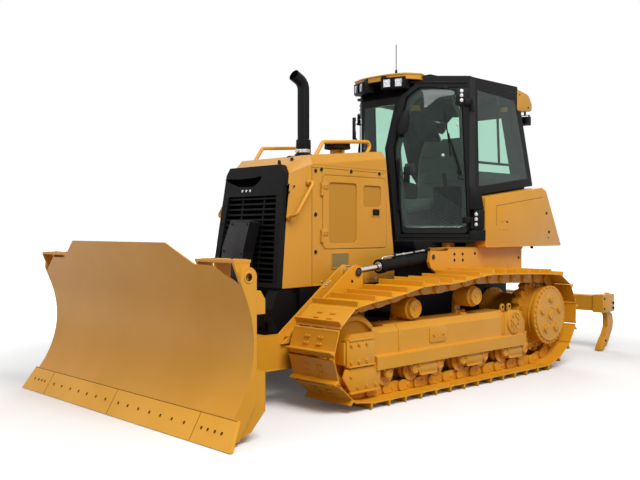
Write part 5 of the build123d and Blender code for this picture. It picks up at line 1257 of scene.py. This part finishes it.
def makeDeckDetails():
    bm = bmesh.new()
    face = 0.748
    # pin of the lift cylinder's root and four bolts of the side plate
    addSpin(bm, [(0, 0.010), (0.016, 0.010), (0.022, 0.006), (0.026, 0)], (0.056, face, 1.170), "y", 28, 2)
    addSpin(bm, [(0.026, 0.004), (0.034, 0.003), (0.036, 0)], (0.056, face, 1.170), "y", 28, 0)
    for x, z in ((-0.280, 1.190), (-0.413, 1.188), (-0.280, 1.130), (-0.417, 1.128), (-0.62, 1.19), (-1.42,
            1.13)):
        addSpin(bm, [(0, 0.001), (0.011, 0.001), (0.0135, 0.003), (0.0155, 0.0)], (x, face, z), "y", 20, 1)
    for x in (-0.18, -0.72, -1.22):
        addBox(bm, (x - 0.006, 0.744, 1.02), (x + 0.006, face + 0.006, 1.06), 0.002)
    # edge strip of the deck, bolts of the mounts below the cab
    addBox(bm, (-0.640, 0.700, 1.2505), (-0.02, 0.7535, 1.2565), 0.002)
    for x in (-0.10, -0.30, -0.50):
        addBolt(bm, (x, 0.71, 1.2565), (0, 0, 1), 0.008, index=1)
    mirrored(bm)
    # a dark box between the deck's sides, and hoses below the tank
    addBox(bm, (-0.60, -0.44, 1.09), (0.30, 0.44, 1.20), 0.01, 1)
    for y, x, drop in ((0.40, -1.60, 0.06), (0.34, -1.62, 0.09), (-0.36, -1.60, 0.07)):
        addPipe(bm, [(x, y, 1.252), (x - 0.02, y, 1.16 - drop), (x + 0.005, y + 0.10, 1.06),
                (-1.556, y + 0.12, 1.02)], 0.017, 1,
                12, 0.05)
    return addPiece("deckDetails", bm, [machineYellow, mattBlack, castGrey], "tractor")


def padForm(low, high, pinch, crown, lean=0.0):
    # a closed pad: crowned faces, sides that pull in between the corners
    part = bmesh.new()
    bmesh.ops.create_cube(part, size=2)
    bmesh.ops.subdivide_edges(part, edges=part.edges, cuts=11, use_grid_fill=True)
    for v in part.verts:
        a, b, c = v.co
        corner = 1 - abs(a) ** 6 * 0.10 * abs(b) ** 6
        v.co.x = a * corner * (1 - pinch * (1 - b * b)) * (1 - 0.05 * c * c)
        v.co.y = b * corner * (1 - pinch * (1 - a * a)) * (1 - 0.05 * c * c)
        v.co.z = c * (1 - crown * (a * a + b * b) / 2)
    low, high = Vector(low), Vector(high)
    bmesh.ops.scale(part, vec=(high - low) / 2, verts=part.verts)
    bmesh.ops.translate(part, vec=(low + high) / 2, verts=part.verts)
    return part


def makeSeat():
    bm = bmesh.new()
    floorTop = 1.362
    joinAt(bm, padForm((-1.055, -0.240, floorTop + 0.302), (-0.585, 0.240, floorTop + 0.438), 0.03, 0.22),
           Matrix())
    back = padForm((-0.058, -0.230, 0.0), (0.058, 0.230, 0.600), 0.03, 0.0)
    for v in back.verts:
        v.co.x += 0.020 * (1 - (v.co.y / 0.23) ** 2) * (1 if v.co.x > 0 else -0.3)
        t = (v.co.z - 0.3) / 0.3
        v.co.y *= 1 - 0.10 * max(0.0, t) ** 2
        v.co.x *= 1 - 0.25 * abs(t) ** 3
    joinAt(bm, back, Matrix.Translation((-0.997, 0, floorTop + 0.444)) @ Matrix.Rotation(radians(-5.5), 4,
            "Y"))
    # sewn channels across the back
    for z in (0.16, 0.30, 0.44):
        x = -0.997 + 0.0725 - z * 0.096
        addBox(bm, (x - 0.004, -0.17, floorTop + 0.444 + z - 0.003), (x + 0.0015, 0.17,
                floorTop + 0.444 + z + 0.003),
               0.0012, 1)
    seat = addPiece("operatorChair", bm, [seatCloth, rubberBlack], "tractor", ("seat",), 60)


makeTanks()
makeDeckDetails()
makeSeat()
print("tanks, deck and chair dressed")


# lift gear and push frame
def makeLiftBarrel(side):
    bm = bmesh.new()
    root, tip = Vector((-0.057, 0.649, 1.164)), Vector((1.082, 0.649, 1.063))
    run = tip - root
    u = run.normalized()
    up = Vector((-u.z, 0, u.x))
    gland = root + u * (measureBarrel(f"lift_barrel_{'left' if side > 0 else 'right'}"))
    addRod(bm, gland - u * 0.050, gland - u * 0.003, 0.0665, 0.006, 1, 40)
    addRod(bm, gland - u * 0.004, gland + u * 0.004, 0.046, 0.002, 2, 32)
    for place in (0.16, 0.40):
        addRod(bm, root + u * place, root + u * (place + 0.022), 0.0605, 0.003, 1, 36)
    # steel pipe along the top with its couplings and fitting block
    high = up * 0.078
    start = root + u * 0.10 + high
    stop = gland - u * 0.070 + high
    addPipe(bm, [start, start.lerp(stop, 0.5), stop, stop + u * 0.022 - up * 0.024], 0.009, 2, 12, 0.012)
    for t in (0.06, 0.52, 0.94):
        c = start.lerp(stop, t)
        addRod(bm, c - u * 0.016, c + u * 0.016, 0.0135, 0.002, 2, 6)
    for t in (0.30, 0.75):
        c = start.lerp(stop, t)
        addBox(bm, c - Vector((0.012, 0.016, 0.028)), c + Vector((0.012, 0.016, 0.012)), 0.003, 1)
    c = root + u * 0.085 + up * 0.075
    addBox(bm, c - Vector((0.030, 0.022, 0.022)), c + Vector((0.030, 0.022, 0.020)), 0.004, 1)
    if side < 0:
        flipSide(bm, side)
    name = "left" if side > 0 else "right"
    return addPiece(f"liftBarrel_{name}", bm, [satinBlack, mattBlack, zincPlate], f"lift_barrel_{name}")


def measureBarrel(nodeName):
    # distance from the root pin to the barrel's front face
    low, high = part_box(nodeName)
    u = Vector((1.139, 0, -0.101)).normalized()
    return (high[0] - 0.0665 * abs(u.z) + 0.057) / u.x


def makePushFrame():
    bm = bmesh.new()
    # lever: pin ends in dark rings, small bolts down its front slope
    addSpin(bm, [(0, 0.0035), (0.021, 0.0035), (0.026, 0.001)], (1.082, 0.739, 1.063), "y", 32, 1)
    addSpin(bm, [(0.026, 0.001), (0.030, 0.0015), (0.0375, 0.0012), (0.0380, 0)], (1.082, 0.739, 1.063),
            "y", 32, 2)
    for x, z in ((1.491, 0.946), (1.463, 0.965), (1.441, 0.980), (1.419, 0.994)):
        addBolt(bm, (x, 0.727, z), (0, 1, 0), 0.007, index=3)
    addBolt(bm, (1.154, 0.727, 0.983), (0, 1, 0), 0.009, index=2)
    # welded edge beads where the lever stands on the push arm
    addRod(bm, (1.06, 0.716, 0.572), (1.92, 0.716, 0.572), 0.007, 0, 0, 8)
    # weld seam along the arm
    addRod(bm, (0.80, 0.7005, 0.306), (2.18, 0.7005, 0.306), 0.006, 0, 0, 8)
    # trunnion caps with four bolts
    addSpin(bm, [(0, 0.014), (0.050, 0.014), (0.056, 0.009), (0.056, 0)], (0.718, 0.700, 0.450), "y", 40, 0)
    ringOfBolts(bm, (0.718, 0.714, 0.450), 0.036, 4, 0.007, 0.4, 2)
    mirrored(bm)
    return addPiece("pushFrameDetails", bm, [machineYellow, castGrey, mattBlack, zincPlate], "c_frame")


for side in (1, -1):
    makeLiftBarrel(side)
makePushFrame()
print("lift gear dressed")


# blade
blade = {
    "normal": (0.861, 0.509),
    "left": (1.152, 1.224, 1.304, 1.379), "right": (1.197, 1.255, 1.314, 1.388),
    "middle": (0.063, 0.201, 0.351, 0.504, 0.648, 0.796, 0.947),
    "offside": (0.136, 0.286, 0.434, 0.575, 0.72, 0.876, 1.018),
}


def makeEdgeDetails():
    bm = bmesh.new()
    nx, nz = blade["normal"]
    # plough bolts: a worn ring round a square socket coloured dark, painted shade in the recess
    spots = blade["left"] + blade["middle"] + tuple(-y for y in blade["right"] + blade["offside"])
    t = 0.505
    x, z = 3.110 - 0.110 * t, 0.004 + 0.186 * t
    frameMatrix = Matrix(((0, -0.509, nx, x), (1, 0, 0, 0), (0, 0.861, nz, z), (0, 0, 0, 1)))
    for y in spots:
        part = bmesh.new()
        addPlate(part, roundOff(((-0.0135, -0.0135), (0.0135, -0.0135), (0.0135, 0.0135), (-0.0135,
                0.0135)), 0.003, 2),
                 [roundOff(((-0.0105, -0.0105), (0.0105, -0.0105), (0.0105, 0.0105), (-0.0105, 0.0105)),
                         0.002, 2)], "xy",
                 -0.002, 0.0016, 0.0, 0)
        addBox(part, (-0.0105, -0.0105, -0.002), (0.0105, 0.0105, 0.0004), 0.0, 1)
        joinAt(bm, part, Matrix.Translation((0, y, 0)) @ frameMatrix)
    # painted shadow: a dark line above the edges, under the moldboard's lower edge; dark joints between the bars
    for a, b, w in ((-1.478, 1.478, 0.0035),):
        part = bmesh.new()
        addBox(part, (a, 0.0995, -0.002), (b, 0.1030, 0.0012), 0.0, 1)
        joinAt(bm, part, frameMatrix)
    for y in (-1.108, -0.030, 1.080):
        part = bmesh.new()
        addBox(part, (y - 0.0018, -0.104, -0.002), (y + 0.0018, 0.101, 0.0008), 0.0, 1)
        joinAt(bm, part, frameMatrix)
    return addPiece("edgeDetails", bm, [litEdgeYellow, seamAndShadeDark], "blade")


def makeBladeDetails():
    bm = bmesh.new()
    # ears of the upper corners: a ring round the hole and its bore
    for y in (1.430,):
        addSpin(bm, [(0.026, 0.002), (0.030, 0.005), (0.038, 0.005), (0.041, 0)], (2.868, y, 1.115), "y",
                32, 0)
        # painted shade: the bore inside the ring is coloured dark
        addSpin(bm, [(0.026, 0.002), (0.024, 0.002), (0.022, -0.020)], (2.868, y, 1.115), "y", 32, 1)
    for z in (0.47, 0.86):
        addRod(bm, (2.835, 0.20, z), (2.835, 1.04, z), 0.006, 0, 0, 8)
    # step treads behind the upper corners
    for x in (2.85, 2.89, 2.93):
        addBox(bm, (x - 0.006, 0.985, 1.2315), (x + 0.006, 1.385, 1.2355), 0.0015)
    for y in (1.09, 1.29):
        addBolt(bm, (2.90, y, 1.2315), (0, 0, 1), 0.008, index=2)
    mirrored(bm)
    return addPiece("bladeDetails", bm, [machineYellow, seamAndShadeDark, mattBlack], "blade")


makeEdgeDetails()
makeBladeDetails()
print("blade dressed")


# ripper
def makeRipperDetails():
    bm = bmesh.new()
    low, high = 0.562 - 0.090, 0.562 + 0.090
    for side in (-1, 0, 1):
        y = side * 0.985
        # pins that hold the shank, with dark ends, and the point with its bolt
        for x, z in ((-2.985, 0.560), (-2.985, 0.500)):
            addRod(bm, (x, y - 0.074, z), (x, y + 0.074, z), 0.017, 0.003, 1, 20)
        tip = [(-2.905, 0.150), (-2.800, 0.012), (-2.735, 0.006), (-2.742, 0.042), (-2.815, 0.140), (-2.868,
                0.190)]
        addSlab(bm, tip, "xz", y - 0.040, y + 0.040, 0.006, 0, 2)
        addRod(bm, (-2.845, y - 0.047, 0.122), (-2.845, y + 0.047, 0.122), 0.013, 0.002, 1, 16)
        # clamp plates beside the shank on the tool bar
        for s in (-1, 1):
            addBox(bm, (-2.948, y + s * 0.062 - 0.006, low - 0.014), (-2.732, y + s * 0.062 + 0.006,
                    high + 0.014), 0.003)
            addBolt(bm, (-2.76, y + s * 0.068, high - 0.030), (0, s, 0), 0.010, index=2)
            addBolt(bm, (-2.76, y + s * 0.068, low + 0.030), (0, s, 0), 0.010, index=2)
    for s in (-1, 1):
        addSlab(bm, [(-2.925, low + 0.008), (-2.755, low + 0.008), (-2.755, high - 0.008),
                (-2.925, high - 0.008)], "xz",
                s * 1.040 - (0.004 if s < 0 else -0.0), s * 1.040 + (0.004 if s > 0 else 0.0), 0.001)
    return addPiece("ripperDetails", bm, [machineYellow, mattBlack, castGrey], "ripper")


makeRipperDetails()
print("ripper dressed")
# light, floor and camera
studio = {
    "eye": (6.3065, 5.7059, 1.4361), "yaw": 226.25, "pitch": -0.75, "lens": 46.31,
    "key": (3.0, 6.5, 8.0, 5.0, 850.0), "fill": (9.5, -1.5, 4.0, 4.0, 130.0), "back": (-7.0, -5.0, 6.5, 5.0,
            260.0),
    "world": 0.37, "floorBounce": 0.30, "floorSeen": 0.90,
}


def addLamp(name, x, y, z, size, power):
    data = bpy.data.lights.new(name, "AREA")
    data.energy, data.size = power, size
    lamp = bpy.data.objects.new(name, data)
    lamp.location = (x, y, z)
    lamp.rotation_euler = (Vector((0, 0, 0.8)) - lamp.location).to_track_quat("-Z", "Y").to_euler()
    scene.collection.objects.link(lamp)


for lampName in ("key", "fill", "back"):
    addLamp(lampName, *studio[lampName])


def seenRay(tree):
    # 1 for what the camera sees, straight or through metal and glass.
    path = node(tree, "ShaderNodeLightPath")
    return mathOf(tree, "MAXIMUM", path.outputs["Is Camera Ray"],
                  mathOf(tree, "MAXIMUM", path.outputs["Is Glossy Ray"], path.outputs["Is Transmission Ray"]))


world = bpy.data.worlds.new("studioAir")
scene.world = world
world.use_nodes = True
air = world.node_tree
sky = air.nodes["Background"]
level = mathOf(air, "ADD", studio["world"], mathOf(air, "MULTIPLY", seenRay(air), 1 - studio["world"]))
sky.inputs["Color"].default_value = (1, 1, 1, 1)
air.links.new(level, sky.inputs["Strength"])

floorMesh = bmesh.new()
bmesh.ops.create_grid(floorMesh, x_segments=1, y_segments=1, size=60)
floorData = bpy.data.meshes.new("studioFloor")
floorMesh.to_mesh(floorData)
floorMesh.free()
paleFloor, floorTree, floorShader = principled("paleFloor")
floorShader.inputs["Roughness"].default_value = 0.9
floorShader.inputs["Specular IOR Level"].default_value = 0.0
floorSeen = seenRay(floorTree)
bounce, shown = ((studio[key],) * 3 + (1,) for key in ("floorBounce", "floorSeen"))
floorTree.links.new(mixColour(floorTree, floorSeen, bounce, shown), floorShader.inputs["Base Color"])
# the floor fades to the white air well away from the machine
spot = node(floorTree, "ShaderNodeTexCoord").outputs["Object"]
far = node(floorTree, "ShaderNodeVectorMath", {0: spot}, operation="LENGTH").outputs["Value"]
fade = node(floorTree, "ShaderNodeMapRange", {"Value": far, "From Min": 3.2, "From Max": 7.5, "To Min": 0.04,
                                              "To Max": 1.0},
            interpolation_type="SMOOTHSTEP").outputs["Result"]
floorTree.links.new(mathOf(floorTree, "MULTIPLY", floorSeen, fade), floorShader.inputs["Emission Strength"])
floorShader.inputs["Emission Color"].default_value = (1, 1, 1, 1)
floorData.materials.append(paleFloor)
floor = bpy.data.objects.new("studioFloor", floorData)
scene.collection.objects.link(floor)

view = bpy.data.cameras.new("view")
view.lens, view.sensor_width, view.clip_end = studio["lens"], 36.0, 200.0
eye = bpy.data.objects.new("view", view)
eye.location = studio["eye"]
eye.rotation_euler = (radians(90 + studio["pitch"]), 0, radians(studio["yaw"] - 90))
scene.collection.objects.link(eye)
scene.camera = eye
scene.view_settings.view_transform = "Standard"
